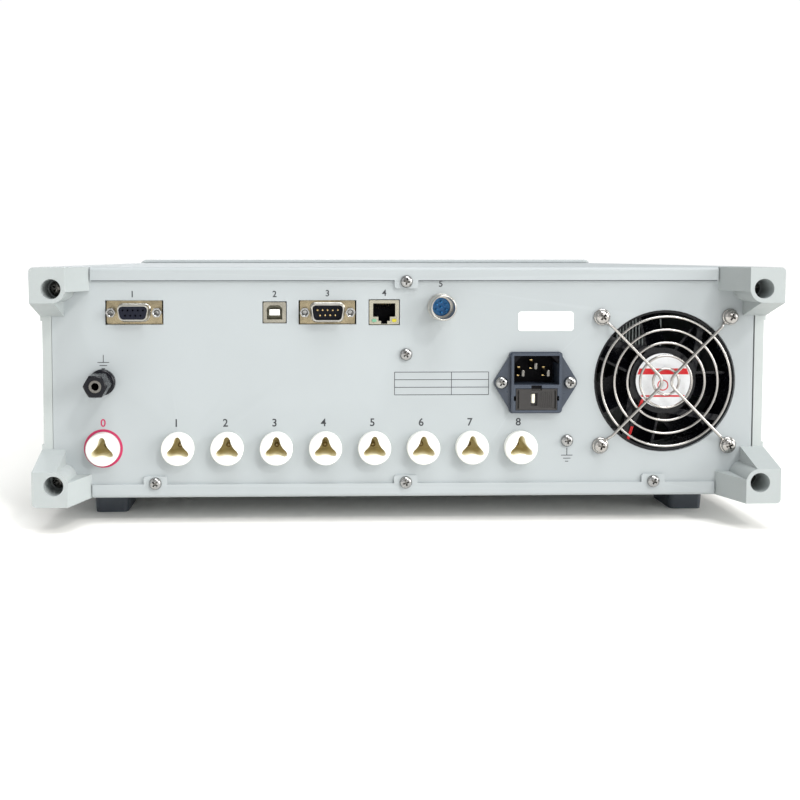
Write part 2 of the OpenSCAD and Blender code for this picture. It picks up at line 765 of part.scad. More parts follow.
module port_inserts() color(slate) {
    at(handler_x, port_z) difference() {
        along_y(panel_y - shell_l + 0.4, shell_l + 4) dsub_outline(
            female_w - 2 * shell_wall - 2 * screw_gap, female_h - 2 * shell_wall - 2 * screw_gap);
        for (p = dsub_pins) at(p[0], p[1]) ybar(0.55, panel_y - shell_l, 5);
    }
    at(serial_x, port_z) difference() {
        along_y(panel_y, 4.6) dsub_outline(
            male_w - 2 * shell_wall - 2 * screw_gap, male_h - 2 * shell_wall - 2 * screw_gap);
        for (p = dsub_pins) at(p[0], p[1]) ybar(dsub_pin_r + 0.02, panel_y - 1, 3.5);
    }
}

module serial_pins() color([0.85, 0.72, 0.4]) at(serial_x, port_z)
    for (p = dsub_pins) at(p[0], p[1]) {
        ybar(dsub_pin_r, panel_y - shell_l + 1.2, shell_l + 1.3);
        translate([0, panel_y - shell_l + 1.2, 0]) sphere(dsub_pin_r, $fn = 24);
    }

module port_jackscrews() color(nickel)
    for (x = [handler_x, serial_x], s = [-1, 1])
        at(x + s * jack_pitch / 2, port_z, panel_y + port_face) difference() {
            union() {
                along_y(-4, 4) circle(jack_w / 2, $fn = 6);
                ybar(1.5, 0, 5);
            }
            ybar(1.25, -5, 6.4);
            translate([0, -4.01, 0]) rotate([-90, 0, 0])
                cylinder(r1 = 1.9, r2 = 1.25, h = 0.7);
        }

module usb_port() color(nickel) at(usb_x, port_z) {
    difference() {
        union() {
            along_y(panel_y + port_face - 0.6, 16) slab(usb_w, usb_h, 0.8);
            translate([-usb_w / 2, inside_y + 1, board_z + board_t - port_z])
                cube([usb_w, 12, usb_h / 2]);
        }
        along_y(panel_y - 1, 10) polygon([[-4.25, -3.9], [4.25, -3.9], [4.25, 2.2], [2.6, 3.9],
            [-2.6, 3.9], [-4.25, 2.2]]);
    }
    along_y(panel_y + 0.8, 10) square([5.6, 3.2], center = true);
}

module lan_port() color(nickel) at(lan_x, port_z) {
    difference() {
        union() {
            along_y(panel_y + port_face - 0.6, 21) slab(lan_w, lan_h, 0.5);
            translate([-lan_w / 2, inside_y + 1, board_z + board_t - port_z])
                cube([lan_w, 17, lan_h / 2]);
        }
        along_y(panel_y - 1, 1.3) translate([0, -0.9])
            square([lan_w - 2 * lan_rim, lan_h - 1.8 - 2 * lan_rim], center = true);
        along_y(panel_y - 1, 13) translate([0, 1.2]) square([12.2, 7.4], center = true);
        along_y(panel_y - 1, 13) translate([0, -3.2]) square([6.4, 3.2], center = true);
        along_y(panel_y - 1, 10) translate([0, -4.9]) square([3.4, 3], center = true);
    }
}

lan_rim = 1.2;
foot_insert_r = 4.9;
foot_mouth_r = 6.1;
foot_rise = 3;

module foot_switch_socket() color(nickel) at(foot_socket_x, port_z + foot_rise) {
    difference() {
        union() {
            spun() polygon([[0, panel_y - foot_socket_l], [foot_socket_r - 0.8,
                panel_y - foot_socket_l], [foot_socket_r - 0.3, panel_y - foot_socket_l + 0.5],
                [foot_socket_r - 0.3, panel_y - 3], [foot_socket_r, panel_y - 3],
                [foot_socket_r, panel_y], [6, panel_y], [6, inside_y + 12], [0, inside_y + 12]]);
            along_y(inside_y, 3) circle(8.2, $fn = 6);
        }
        ybar(foot_insert_r + screw_gap, panel_y - foot_socket_l - 1, foot_socket_l + 6);
        ybar(foot_mouth_r, panel_y - foot_socket_l - 1, foot_socket_l - 1.5);
    }
}

foot_pins = [for (a = [30:60:330]) 2.9 * [cos(a), sin(a)]];

module foot_switch_insert() color([0.15, 0.3, 0.6]) at(foot_socket_x, port_z + foot_rise) {
    ybar(foot_insert_r, panel_y - 1.5, 6.3);
    for (p = concat([[0, 0]], foot_pins)) at(p[0], p[1])
        ybar(0.6, panel_y - 5.5, 5.5);
}

// Ground socket: base, metal stud with a 4 mm bore, and a hexagonal cap that turns on it
stud_r = 3.45;
base_l = 3.5;
collar_end = 9.5;
cap_end = 22.5;

module ground_post() color(slate) at(left_x, bottom_z + ground_z) difference() {
    spun() polygon([[0, panel_y - cap_end + 0.5], [stud_r, panel_y - cap_end + 0.5],
        [stud_r, panel_y - collar_end], [5, panel_y - collar_end], [5, panel_y - collar_end + 1.2],
        [5.6, panel_y - collar_end + 1.2], [5.6, panel_y - collar_end + 2.4],
        [5, panel_y - collar_end + 2.4], [5, panel_y - collar_end + 3.6],
        [5.6, panel_y - collar_end + 3.6], [5.6, panel_y - base_l], [ground_r - 0.8, panel_y - base_l],
        [ground_r, panel_y - base_l + 0.8], [ground_r, panel_y], [4, panel_y], [4, inside_y + 10],
        [0, inside_y + 10]]);
    ybar(banana_r, panel_y - cap_end - 1, cap_end - 2);
}

module ground_post_cap() color(slate) at(left_x, bottom_z + ground_z) difference() {
    intersection() {
        along_y(panel_y - cap_end, cap_end - collar_end - move_gap)
            circle(cap_af / sqrt(3), $fn = 6);
        spun() polygon([[0, panel_y - cap_end], [cap_af / 2 - 0.4, panel_y - cap_end],
            [cap_af / 2 + 1.2, panel_y - cap_end + 1.6], [cap_af / 2 + 1.2, panel_y - collar_end],
            [0, panel_y - collar_end]]);
    }
    ybar(stud_r + run_fit, panel_y - cap_end - 1, cap_end);
}

// Three-lobed outline of a socket's recess, one lobe uppermost
module lobes() {
    bite_r = 9;
    side_in = lobe_in / 2 + lobe_r;
    difference() {
        rounded([for (a = [90, 210, 330]) lobe_in * [cos(a), sin(a)]], lobe_r);
        for (a = [30, 150, 270])
            translate((side_in - 0.7 + bite_r) * [cos(a), sin(a)]) circle(bite_r);
    }
}

module channel_socket(x) color(nylon) at(x, bottom_z + channel_z) difference() {
    union() {
        spun() polygon([[0, panel_y - collar_l], [collar_r - 0.7, panel_y - collar_l],
            [collar_r, panel_y - collar_l + 0.7], [collar_r, panel_y], [barrel_r, panel_y],
            [barrel_r, inside_y + barrel_l], [0, inside_y + barrel_l]]);
        along_y(inside_y, 4) circle(10.4, $fn = 6);
    }
    along_y(panel_y - collar_l - 1, recess_l + 1) lobes();
}

module hv_socket() channel_socket(left_x);
module channel_socket_1() channel_socket(socket_x(1));
module channel_socket_2() channel_socket(socket_x(2));
module channel_socket_3() channel_socket(socket_x(3));
module channel_socket_4() channel_socket(socket_x(4));
module channel_socket_5() channel_socket(socket_x(5));
module channel_socket_6() channel_socket(socket_x(6));
module channel_socket_7() channel_socket(socket_x(7));
module channel_socket_8() channel_socket(socket_x(8));

module socket_contacts() color([0.8, 0.65, 0.35])
    for (x = socket_places) at(x, bottom_z + channel_z) {
        floor_y = panel_y - collar_l + recess_l;
        ybar(contact_r, floor_y - contact_l, contact_l);
        translate([0, floor_y - contact_l, 0]) sphere(contact_r);
    }

// Mains inlet: plug cavity above, fuse drawer below
inlet_face = panel_y - inlet_t - inlet_rise;
inlet_wall = 1.2;
cavity_z = inlet_h / 2 - inlet_wall - cavity_h / 2;
drawer_z = -inlet_h / 2 + inlet_wall + 0.3 + drawer_h / 2;
ear_r = 4;
ear_x = inlet_w / 2 - ear_r + 1;
ear_z = inlet_h / 2 - ear_r + 0.7;
drawer_notch_w = 5.8;

module cavity_outline() {
    x = cavity_w / 2;
    y = cavity_h / 2;
    cut = 4.5;
    polygon([[-x, -y], [x, -y], [x, y - cut], [x - cut, y], [cut - x, y], [-x, y - cut]]);
}

module inlet_body() color(slate) at(inlet_x, bottom_z + inlet_z) difference() {
    union() {
        along_y(panel_y - inlet_t, inlet_t) {
            rounded([[-inlet_pitch / 2, 0], [-ear_x, -ear_z], [ear_x, -ear_z],
                [inlet_pitch / 2, 0], [ear_x, ear_z], [-ear_x, ear_z]], ear_r);
            slab(inlet_w + 1.6, inlet_h + 1.5, 2);
        }
        along_y(inlet_face, inlet_rise + 0.5) slab(inlet_w, inlet_h, 1.5);
        along_y(panel_y - 0.5, inlet_l) slab(inlet_w - 1 - 2 * seam, inlet_h - 1 - 2 * seam, 1.5 - seam);
    }
    along_y(inlet_face - 1, cavity_l + 1) translate([0, cavity_z]) cavity_outline();
    along_y(inlet_face - 1, 2.2) translate([0, cavity_z]) square([cavity_w, cavity_h], center = true);
    along_y(inlet_face - 1, 2.2) translate([0, drawer_z + drawer_h / 2])
        square([drawer_notch_w, 4], center = true);
    for (s = [-1, 1]) along_y(inlet_face - 1, 3)
        translate([s * (drawer_w / 2 + move_gap), drawer_z + 0.5]) square([2, 2.6], center = true);
    along_y(inlet_face - 1, drawer_l + 1.5) translate([0, drawer_z])
        square([drawer_w, drawer_h] + 2 * [move_gap, move_gap], center = true);
    for (s = [-1, 1]) at(s * inlet_pitch / 2, 0)
        ybar(small_head[2] + screw_gap, panel_y - inlet_t - 1, inlet_t + 2);
}

module inlet_pins() color(nickel) at(inlet_x, bottom_z + inlet_z + cavity_z)
    for (p = [[-7, -2], [0, 2], [7, -2]])
        translate([p[0] - 1, inlet_face + 2.5, p[1] - 2]) cube([2, cavity_l - 2.5, 4]);

module fuse_drawer() color(slate) at(inlet_x, bottom_z + inlet_z + drawer_z) {
    difference() {
        along_y(inlet_face, drawer_l) square([drawer_w, drawer_h], center = true);
        along_y(inlet_face - 1, 2.2) translate([0, drawer_h / 2])
            square([drawer_notch_w, 1.6], center = true);
        along_y(inlet_face - 1, 2.6) translate([-1.3, 0]) square([3.6, 6.9], center = true);
        for (s = [-1, 1]) along_y(inlet_face - 1, 2.2)
            translate([s * (drawer_w / 2 - 1.1), 0]) square([0.9, drawer_h - 1.4], center = true);
        translate([-10.5, inlet_face + 12, -1.5]) cube([21, 7, drawer_h]);
        translate([-10.5, inlet_face + 22, -1.5]) cube([21, 7, drawer_h]);
    }
    for (y = [15.5, 25.5])
        translate([-10, inlet_face + y, 1.1]) rotate([0, 90, 0]) cylinder(r = 2.6, h = 20);
}

// Fan: frame with a motor on four tangential struts, and a rotor cup with cambered blades
hub_r = 18.4;
motor_r = 15;
bearing_r = 1.5;
strut_in = 17.6;
strut_w = 3.4;
strut_tilt = 9;

module fan_frame() color(slate) at(fan_x, bottom_z + fan_z, inside_y) difference() {
    union() {
        difference() {
            along_y(0, fan_d) slab(fan_w, fan_w, 4);
            ybar(fan_w / 2 - 2, -1, fan_d + 2);
        }
        ybar(hub_r, 1, 3);
        ybar(motor_r, 1, fan_d - 8);
        for (a = [0:90:270]) rotate([0, a + strut_tilt, 0])
            translate([-fan_w / 2, 1, strut_in - strut_w]) cube([fan_w / 2, 3, strut_w]);
    }
    for (p = fan_holes) at(p[0], p[1]) ybar(large_head[2] + screw_gap, -1, fan_d + 2);
    ybar(bearing_r + run_fit, 4, fan_d);
}

// Cambered blade: a slice of a tube whose axis runs out from the hub
module blade() intersection() {
    difference() {
        translate([0, 2, -15]) rotate([0, 90, 0]) translate([0, 0, hub_r - 1])
            cylinder(r = 20, h = blade_r);
        translate([0, 2, -15]) rotate([0, 90, 0]) translate([0, 0, hub_r - 2])
            cylinder(r = 18.7, h = blade_r + 2);
    }
    difference() {
        ybar(blade_r, 6, fan_d - 8);
        ybar(hub_r - 0.8, 5, fan_d);
    }
    translate([hub_r - 2, 0, -11]) cube([blade_r, fan_d, 24]);
}

module fan_rotor() color([0.1, 0.1, 0.12]) at(fan_x, bottom_z + fan_z, inside_y) {
    difference() {
        ybar(hub_r, 4 + move_gap, fan_d - 5.5 - move_gap);
        ybar(motor_r + 2 * move_gap, 4, fan_d - 7.5);
    }
    ybar(bearing_r, 6, fan_d - 8);
    for (i = [0:blade_count - 1]) rotate([0, i * 360 / blade_count, 0]) blade();
}

// Guard: wire rings on two hairpin spokes that end in eyes under the screws
spoke_y = -3.4;
hairpin_r = 5;
hairpin_in = 2.5;
eye_r = 3.7;

module ring_of_wire(r, w) rotate([90, 0, 0]) rotate_extrude() translate([r, 0]) circle(w, $fn = 24);

module hairpin() {
    c = -(hairpin_in + hairpin_r);
    rim = (fan_open_r + 2) * cos(45);
    eye = fan_pitch / 2;
    down = eye - eye_r * cos(45);
    bend = hairpin_r * cos(45);
    for (s = [-1, 1]) {
        wire([c + bend, spoke_y, s * bend], [-rim, spoke_y, s * rim], spoke_wire_r);
        wire([-rim, spoke_y, s * rim], [-down, -spoke_wire_r, s * down], spoke_wire_r);
        translate([-eye, -spoke_wire_r, s * eye]) ring_of_wire(eye_r, 0.92 * spoke_wire_r);
    }
    translate([c, spoke_y, 0]) rotate([90, 0, 0]) rotate([0, 0, -45])
        rotate_extrude(angle = 90) translate([hairpin_r, 0]) circle(spoke_wire_r, $fn = 24);
}

module fan_guard() color(nickel) at(fan_x, bottom_z + fan_z, panel_y) {
    for (i = [0:ring_count - 1]) translate([0, spoke_y + spoke_wire_r + ring_wire_r - 0.3, 0])
        ring_of_wire(ring_r - i * ring_pitch, ring_wire_r);
    hairpin();
    mirror([1, 0, 0]) hairpin();
}

module fan_screws() color(nickel)
    for (p = fan_holes) at(fan_x + p[0], bottom_z + fan_z + p[1], panel_y - 2 * spoke_wire_r)
        pan_screw(large_head, panel_t + 2 * spoke_wire_r + fan_d);

module main_board() color(board_green) {
    translate([main_board_x[0], inside_y + 1, board_z])
        cube([main_board_x[1] - main_board_x[0], main_board_d, board_t]);
    for (p = [[-60, 60, 30, 8], [-120, 90, 22, 5], [-10, 95, 26, 4]])
        translate([p[0], inside_y + p[1], board_z + board_t - 0.1]) cube([p[2], p[2], p[3]]);
}

supply_x = body_w / 2 - 20 - supply_l;
supply_y = inside_y + 95;
supply_d = 150;
supply_plate = 2;

module power_supply() color([0.7, 0.72, 0.72]) translate([supply_x, supply_y, floor_z]) {
    cube([supply_l, supply_d, supply_plate]);
    for (y = [0, supply_d - supply_plate]) translate([0, y, 0])
        cube([supply_l, supply_plate, supply_h]);
    translate([8, 12, 1.9]) cube([36, 40, supply_h - 6]);
    for (y = [70, 105]) translate([30, y, 1.9]) cylinder(r = 12.5, h = supply_h - 8);
    translate([60, 20, 1.9]) cube([46, 110, 14]);
}

core_y = inside_y + 200;
core_x = -90;
core_d = 50;
winding_d = 78;

module pulse_transformer() color([0.45, 0.36, 0.24]) translate([core_x, core_y, floor_z]) {
    difference() {
        translate([-core_w / 2, -core_d / 2, 0]) cube([core_w, core_d, core_h]);
        for (s = [-1, 1]) translate([s * core_w / 4 - core_w / 12, -core_d / 2 - 1, 12])
            cube([core_w / 6, core_d + 2, core_h - 24]);
    }
    translate([0, 0, 12.5]) linear_extrude(core_h - 25) slab(2 * core_w / 3 - 0.2, winding_d, 10);
}

relay_y = inside_y + barrel_l + 0.3;

module relay_board() color(board_green) {
    translate([left_x - 14, relay_y, floor_z])
        cube([socket_x(8) - left_x + 28, board_t, channel_z + 16]);
    for (x = socket_places) translate([x - 9, relay_y + board_t - 0.1, bottom_z + channel_z - 8])
        cube([18, 14, 16]);
}

rear_panel();
chassis_tray();
top_cover();
side_panel_left();
side_panel_right();
front_frame();
front_panel();
display_window();
display_module();
front_board();
bumper_top_left();
bumper_top_right();
bumper_bottom_left();
bumper_bottom_right();
bumper_screws();
case_screws();
rear_feet();
front_feet();
tilt_leg_left();
tilt_leg_right();
handler_port();
serial_port();
port_inserts();
serial_pins();
port_jackscrews();
usb_port();
lan_port();
foot_switch_socket();
foot_switch_insert();
ground_post();
ground_post_cap();
hv_socket();
channel_socket_1();
channel_socket_2();
channel_socket_3();
channel_socket_4();
channel_socket_5();
channel_socket_6();
channel_socket_7();
channel_socket_8();
socket_contacts();
inlet_body();
inlet_pins();
fuse_drawer();
fan_frame();
fan_rotor();
fan_guard();
fan_screws();
main_board();
power_supply();
pulse_transformer();
relay_board();
power_button();
start_button();
stop_button();
knob();
soft_key_1();
soft_key_2();
soft_key_3();
soft_key_4();
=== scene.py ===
"""Looks of a bench impulse winding tester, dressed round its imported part."""
import json
import logging
import math
from collections.abc import Callable
from dataclasses import dataclass
from enum import Enum

import bmesh
import bpy
from mathutils import Matrix, Vector


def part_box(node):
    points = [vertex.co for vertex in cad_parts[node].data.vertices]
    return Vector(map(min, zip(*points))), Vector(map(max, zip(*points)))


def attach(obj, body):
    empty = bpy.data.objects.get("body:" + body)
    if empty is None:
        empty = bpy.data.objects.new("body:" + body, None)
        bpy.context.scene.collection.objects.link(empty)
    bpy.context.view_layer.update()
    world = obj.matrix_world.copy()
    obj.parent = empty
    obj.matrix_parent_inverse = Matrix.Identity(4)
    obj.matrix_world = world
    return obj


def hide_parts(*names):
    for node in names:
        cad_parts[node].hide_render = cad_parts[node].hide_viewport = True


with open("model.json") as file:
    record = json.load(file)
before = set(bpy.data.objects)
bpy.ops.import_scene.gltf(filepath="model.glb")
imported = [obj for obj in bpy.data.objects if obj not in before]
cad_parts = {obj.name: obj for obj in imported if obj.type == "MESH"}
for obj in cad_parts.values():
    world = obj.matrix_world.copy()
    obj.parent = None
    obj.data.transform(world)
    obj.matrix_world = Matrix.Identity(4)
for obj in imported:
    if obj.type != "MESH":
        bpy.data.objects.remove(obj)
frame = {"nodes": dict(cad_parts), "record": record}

log = logging.getLogger("tester")

MM = 0.001
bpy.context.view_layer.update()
Colour = tuple[float, float, float]
Point = tuple[float, float, float]
Flat = tuple[float, float]
Socket = bpy.types.NodeSocket

NOISE_RANGE = (0.3, 0.7)  # what a noise texture's values mostly lie between
EDGE_RANGE = (0.52, 0.6)  # pointiness from a nearly flat place to a sharp edge
FLAT_ANGLE = math.radians(0.6)  # triangles of a node that meet at less are one face
SHARP_ANGLE = math.radians(28)  # edges that turn by more are rounded
NODE_GAP = 0.003  # corners of a node's triangles that are closer are one corner
POLE_GAP = 0.0005  # points of a turned form that are closer are one point
DIGIT_HEIGHT = 0.7  # height of a digit, as a share of its font's size
DIGIT_BOLD = 0.022  # how much a digit's strokes grow, as a share of its height


def srgb(red: int, green: int, blue: int) -> Colour:
    """Turns a screen colour into a linear one.

    Args:
        red: Red, 0 to 255.
        green: Green, 0 to 255.
        blue: Blue, 0 to 255.

    Returns:
        The linear colour.
    """
    def channel(value: float) -> float:
        """Linear value of one channel."""
        value /= 255
        return value / 12.92 if value <= 0.04045 else ((value + 0.055) / 1.055) ** 2.4
    return channel(red), channel(green), channel(blue)


class Axis(Enum):
    """Direction that an outline is extruded or turned along."""
    Y = "y"
    Z = "z"

    def place(self, flat: Flat, along: float) -> Vector:
        """Puts a point of a flat outline into space, at a height along this axis."""
        u, v = flat
        return Vector((u, along, v) if self is Axis.Y else (u, v, along))

    def vector(self, length: float = 1.0) -> Vector:
        """Vector of a length along this axis."""
        return self.place((0, 0), length)


class Nodes:
    """Node tree of one material while it is wired."""

    def __init__(self, name: str) -> None:
        """Starts a material with one shader.

        Args:
            name: Name of the material.
        """
        self.material = bpy.data.materials.new(name)
        self.material.use_nodes = True
        self.tree = self.material.node_tree
        self.tree.nodes.clear()
        self.shader = self.add("ShaderNodeBsdfPrincipled")
        output = self.add("ShaderNodeOutputMaterial")
        self.link(self.shader.outputs[0], output.inputs["Surface"])
        self.place = self.add("ShaderNodeTexCoord").outputs["Object"]

    def add(self, kind: str) -> bpy.types.Node:
        """Adds a node of a kind."""
        return self.tree.nodes.new(kind)

    def link(self, source: Socket, target: Socket) -> None:
        """Joins two sockets."""
        self.tree.links.new(source, target)

    def noise(self, size_mm: float, detail: float, stretch: Point) -> Socket:
        """Noise on the object's own coordinates.

        Args:
            size_mm: Size of its blotches.
            detail: Octaves of finer noise.
            stretch: How many times longer the blotches are along each axis.

        Returns:
            Its value.
        """
        mapping = self.add("ShaderNodeMapping")
        mapping.inputs["Scale"].default_value = [1 / (size_mm * MM * s) for s in stretch]
        self.link(self.place, mapping.inputs["Vector"])
        noise = self.add("ShaderNodeTexNoise")
        noise.inputs["Scale"].default_value = 1
        noise.inputs["Detail"].default_value = detail
        self.link(mapping.outputs[0], noise.inputs["Vector"])
        return noise.outputs[0]

    def depth(self) -> Socket:
        """Place along Y, which runs from the rear panel to the front."""
        node = self.add("ShaderNodeSeparateXYZ")
        self.link(self.place, node.inputs[0])
        return node.outputs["Y"]

    def remap(self, value: Socket, low: float, high: float,
              to_low: float, to_high: float) -> Socket:
        """Stretches a value's range, clamped at both ends.

        Args:
            value: Value to stretch.
            low: Where the range starts.
            high: Where the range ends.
            to_low: Result at its start.
            to_high: Result at its end.

        Returns:
            The new value.
        """
        node = self.add("ShaderNodeMapRange")
        for name, number in (("From Min", low), ("From Max", high),
                             ("To Min", to_low), ("To Max", to_high)):
            node.inputs[name].default_value = number
        self.link(value, node.inputs["Value"])
        return node.outputs["Result"]

    def blend(self, value: Socket, first: Colour, second: Colour) -> Socket:
        """Blends two colours by a noise value."""
        ramp = self.add("ShaderNodeValToRGB")
        for stop, spot, colour in zip(ramp.color_ramp.elements, NOISE_RANGE, (first, second)):
            stop.position, stop.color = spot, (*colour, 1)
        self.link(value, ramp.inputs["Fac"])
        return ramp.outputs["Color"]

    def mix(self, share: Socket, under: Socket, over: Colour) -> Socket:
        """Lays a colour over another by a share."""
        node = self.add("ShaderNodeMix")
        node.data_type = "RGBA"
        node.inputs[7].default_value = (*over, 1)
        self.link(share, node.inputs[0])
        self.link(under, node.inputs[6])
        return node.outputs[2]

    def bump(self, height: Socket, distance: float) -> None:
        """Raises the surface by a value, up to a distance in metres."""
        node = self.add("ShaderNodeBump")
        node.inputs["Distance"].default_value = distance
        self.link(height, node.inputs["Height"])
        self.link(node.outputs[0], self.shader.inputs["Normal"])


@dataclass(frozen=True)
class Finish:
    """A surface finish: colour, gloss, colour drift and relief, all of it procedural.

    The drift is its share and its size in millimetres, and the grain is its height in
    micrometres and its size in millimetres.
    """
    name: str
    colour: Colour
    roughness: float
    spread: float
    drift: Flat
    grain: Flat
    metallic: float = 0.0
    stretch: Point = (1.0, 1.0, 1.0)
    wear: float = 0.0
    coat: float = 0.0
    specular: float = 0.5
    glow: float = 0.0

    def material(self) -> bpy.types.Material:
        """Returns this finish's material, made on first use."""
        made = bpy.data.materials.get(f"{self.name}_look")
        return made if made else self._build()

    def _build(self) -> bpy.types.Material:
        """Builds the node tree.

        Returns:
            The new material.
        """
        nodes = Nodes(f"{self.name}_look")
        sockets = nodes.shader.inputs
        for name, value in (("Metallic", self.metallic), ("Coat Weight", self.coat),
                            ("Coat Roughness", 0.12), ("Specular IOR Level", self.specular)):
            sockets[name].default_value = value
        (drift, drift_mm), (grain_um, grain_mm) = self.drift, self.grain
        broad = nodes.noise(drift_mm, 3, self.stretch)
        tint = nodes.blend(broad, self._shade(1 - drift), self._shade(1 + drift))
        tint = self.pattern(nodes, tint)
        # Lighter colour at sharp edges, found by pointiness.
        if self.wear:
            edge = nodes.remap(nodes.add("ShaderNodeNewGeometry").outputs["Pointiness"],
                               *EDGE_RANGE, 0, self.wear)
            tint = nodes.mix(edge, tint, self._shade(1.5))
        nodes.link(tint, sockets["Base Color"])
        # Emission; on the socket recess it is a painted glow that lights the recess.
        if self.glow:
            nodes.link(tint, sockets["Emission Color"])
            sockets["Emission Strength"].default_value = self.glow
        gloss = nodes.remap(nodes.noise(drift_mm / 6, 4, self.stretch), *NOISE_RANGE,
                            max(self.roughness - self.spread, 0.02), self.roughness + self.spread)
        nodes.link(gloss, sockets["Roughness"])
        nodes.bump(nodes.noise(grain_mm, 2, self.stretch), grain_um * 1e-6)
        return nodes.material

    def pattern(self, nodes: Nodes, tint: Socket) -> Socket:
        """Colours the finish further; the plain finish leaves it."""
        return tint

    def _shade(self, share: float) -> Colour:
        """This finish's colour, lighter or darker."""
        return tuple(min(c * share, 1.0) for c in self.colour)


@dataclass(frozen=True)
class Deep(Finish):
    """A finish that turns to another colour between two depths: painted shade that deepens into a
    recess.
    """
    start: float = 0.0
    end: float = 1.0
    inner: Colour = (0.0, 0.0, 0.0)

    def pattern(self, nodes: Nodes, tint: Socket) -> Socket:
        """Fades to the inner colour, painted shade deeper in the recess."""
        share = nodes.remap(nodes.depth(), self.start * MM, self.end * MM, 0, 1)
        return nodes.mix(share, tint, self.inner)


PAINT = Finish("powder_coat", srgb(164, 170, 172), 0.5, 0.02, (0.02, 60), (18, 0.8), wear=0.1)
SIDE_PAINT = Finish("side_paint", srgb(172, 178, 177), 0.46, 0.025, (0.025, 50), (14, 0.7),
                    wear=0.12)
BUMPER = Finish("bumper_plastic", srgb(164, 170, 170), 0.52, 0.07, (0.02, 25), (22, 0.55), wear=0.1)
FRAME = Finish("front_frame_plastic", srgb(177, 183, 184), 0.5, 0.03, (0.02, 30), (18, 0.6),
               wear=0.1)
NICKEL = Finish("nickel_plate", srgb(164, 164, 163), 0.2, 0.08, (0.06, 6), (3, 0.25), metallic=1)
CHROME_WIRE = Finish("bright_wire", srgb(178, 175, 171), 0.2, 0.06, (0.04, 8), (2, 0.2), metallic=1)
ZINC = Finish("yellow_zinc", srgb(156, 144, 118), 0.27, 0.08, (0.24, 5), (4, 0.2), metallic=1)
SHELL = Finish("tinned_shell", srgb(192, 190, 184), 0.34, 0.08, (0.08, 4), (3, 0.2), metallic=1)
BRASS = Finish("contact_gold", srgb(218, 192, 136), 0.25, 0.06, (0.08, 3), (2, 0.15), metallic=1)
# Darker steel: the ground stud's metal, and painted shade in the screw recesses and on the inlet's
# blades.
DARK_STEEL_AND_SHADE = Finish("dark_steel_and_painted_shade", srgb(122, 120, 116), 0.3, 0.08, (0.1, 4), (4, 0.3), metallic=1)
GREY_METAL = Finish("plain_sheet", srgb(168, 172, 172), 0.38, 0.08, (0.05, 20), (3, 0.3),
                    metallic=0.9, stretch=(6, 1, 1))
PORT_FRAME = Finish("port_frame", srgb(160, 156, 144), 0.3, 0.08, (0.1, 4), (3, 0.2), metallic=1)
# Painted shade on the inside walls of the square port's shell.
PORT_LINING_SHADE = Finish("port_lining_painted_shade", srgb(146, 143, 126), 0.4, 0.06, (0.08, 3), (3, 0.2),
                     metallic=0.6)
CREAM_SHELL = Finish("cream_shell", srgb(174, 170, 154), 0.3, 0.07, (0.06, 5), (3, 0.3),
                     metallic=0.75)
INSERT = Finish("insert_moulding", srgb(12, 16, 32), 0.5, 0.08, (0.08, 6), (5, 0.3), specular=0.25)
INLET = Finish("inlet_moulding", srgb(52, 60, 72), 0.34, 0.08, (0.07, 14), (7, 0.3), wear=0.25)
DRAWER = Finish("drawer_moulding", srgb(40, 38, 37), 0.4, 0.08, (0.08, 10), (7, 0.3), wear=0.2)
SLATE = Finish("slate_plastic", srgb(58, 64, 72), 0.48, 0.08, (0.06, 15), (16, 0.5), wear=0.2)
CAP_BLACK = Finish("cap_black", srgb(14, 15, 21), 0.28, 0.06, (0.08, 6), (8, 0.3), wear=0.2,
                   specular=0.24)
# Near black with weak gloss: the network port's dark inside, and painted shade deep in the mains
# inlet's cavity.
CAVITY_BLACK_AND_SHADE = Finish("cavity_black_and_painted_shade", srgb(14, 13, 17), 0.6, 0.08, (0.08, 8), (4, 0.4), specular=0.12)
FAN_BLACK = Finish("fan_black", srgb(13, 14, 19), 0.24, 0.08, (0.08, 10), (5, 0.5), specular=0.32)
NYLON = Finish("white_nylon", srgb(238, 238, 232), 0.34, 0.06, (0.015, 10), (3, 0.3))
# Socket recess: painted shade that darkens and warms with depth, and a faint painted glow.
RECESS_PAINTED_SHADE = Deep("nylon_recess_painted_shade", srgb(246, 243, 228), 0.38, 0.06, (0.03, 5), (3, 0.3), start=-202.4,
              end=-187.5, inner=srgb(224, 211, 160), glow=0.08)
BLUE = Finish("blue_insert", srgb(28, 128, 198), 0.36, 0.06, (0.06, 4), (3, 0.2))
TONGUE = Finish("white_tongue", srgb(244, 244, 242), 0.4, 0.05, (0.01, 40), (2, 0.7))
IVORY = Finish("fuse_ivory", srgb(236, 232, 214), 0.3, 0.05, (0.03, 40), (2, 0.7))
RED_WIRE = Finish("red_wire", srgb(196, 26, 30), 0.35, 0.05, (0.05, 40), (3, 0.7))
BOARD = Finish("circuit_board", srgb(24, 82, 58), 0.36, 0.06, (0.12, 5), (4, 0.6))
FERRITE = Finish("ferrite_core", srgb(52, 50, 50), 0.6, 0.08, (0.08, 8), (14, 0.5))
GLASS = Finish("window_glass", srgb(14, 18, 24), 0.06, 0.02, (0.03, 60), (0.5, 4), coat=0.6)
SCREEN = Finish("screen_glass", srgb(30, 36, 40), 0.09, 0.03, (0.04, 50), (0.4, 3), coat=0.5)
KEYS = Finish("grey_keys", srgb(176, 181, 184), 0.5, 0.06, (0.03, 10), (9, 0.4))
GREEN = Finish("green_keys", srgb(42, 132, 84), 0.45, 0.06, (0.04, 10), (9, 0.4))
RED = Finish("red_keys", srgb(178, 34, 36), 0.45, 0.06, (0.04, 10), (9, 0.4))
INK = Finish("grey_print", srgb(46, 48, 52), 0.5, 0.05, (0.06, 5), (2, 0.7))
CRIMSON = Finish("crimson_print", srgb(176, 26, 80), 0.5, 0.05, (0.05, 6), (2, 0.7))
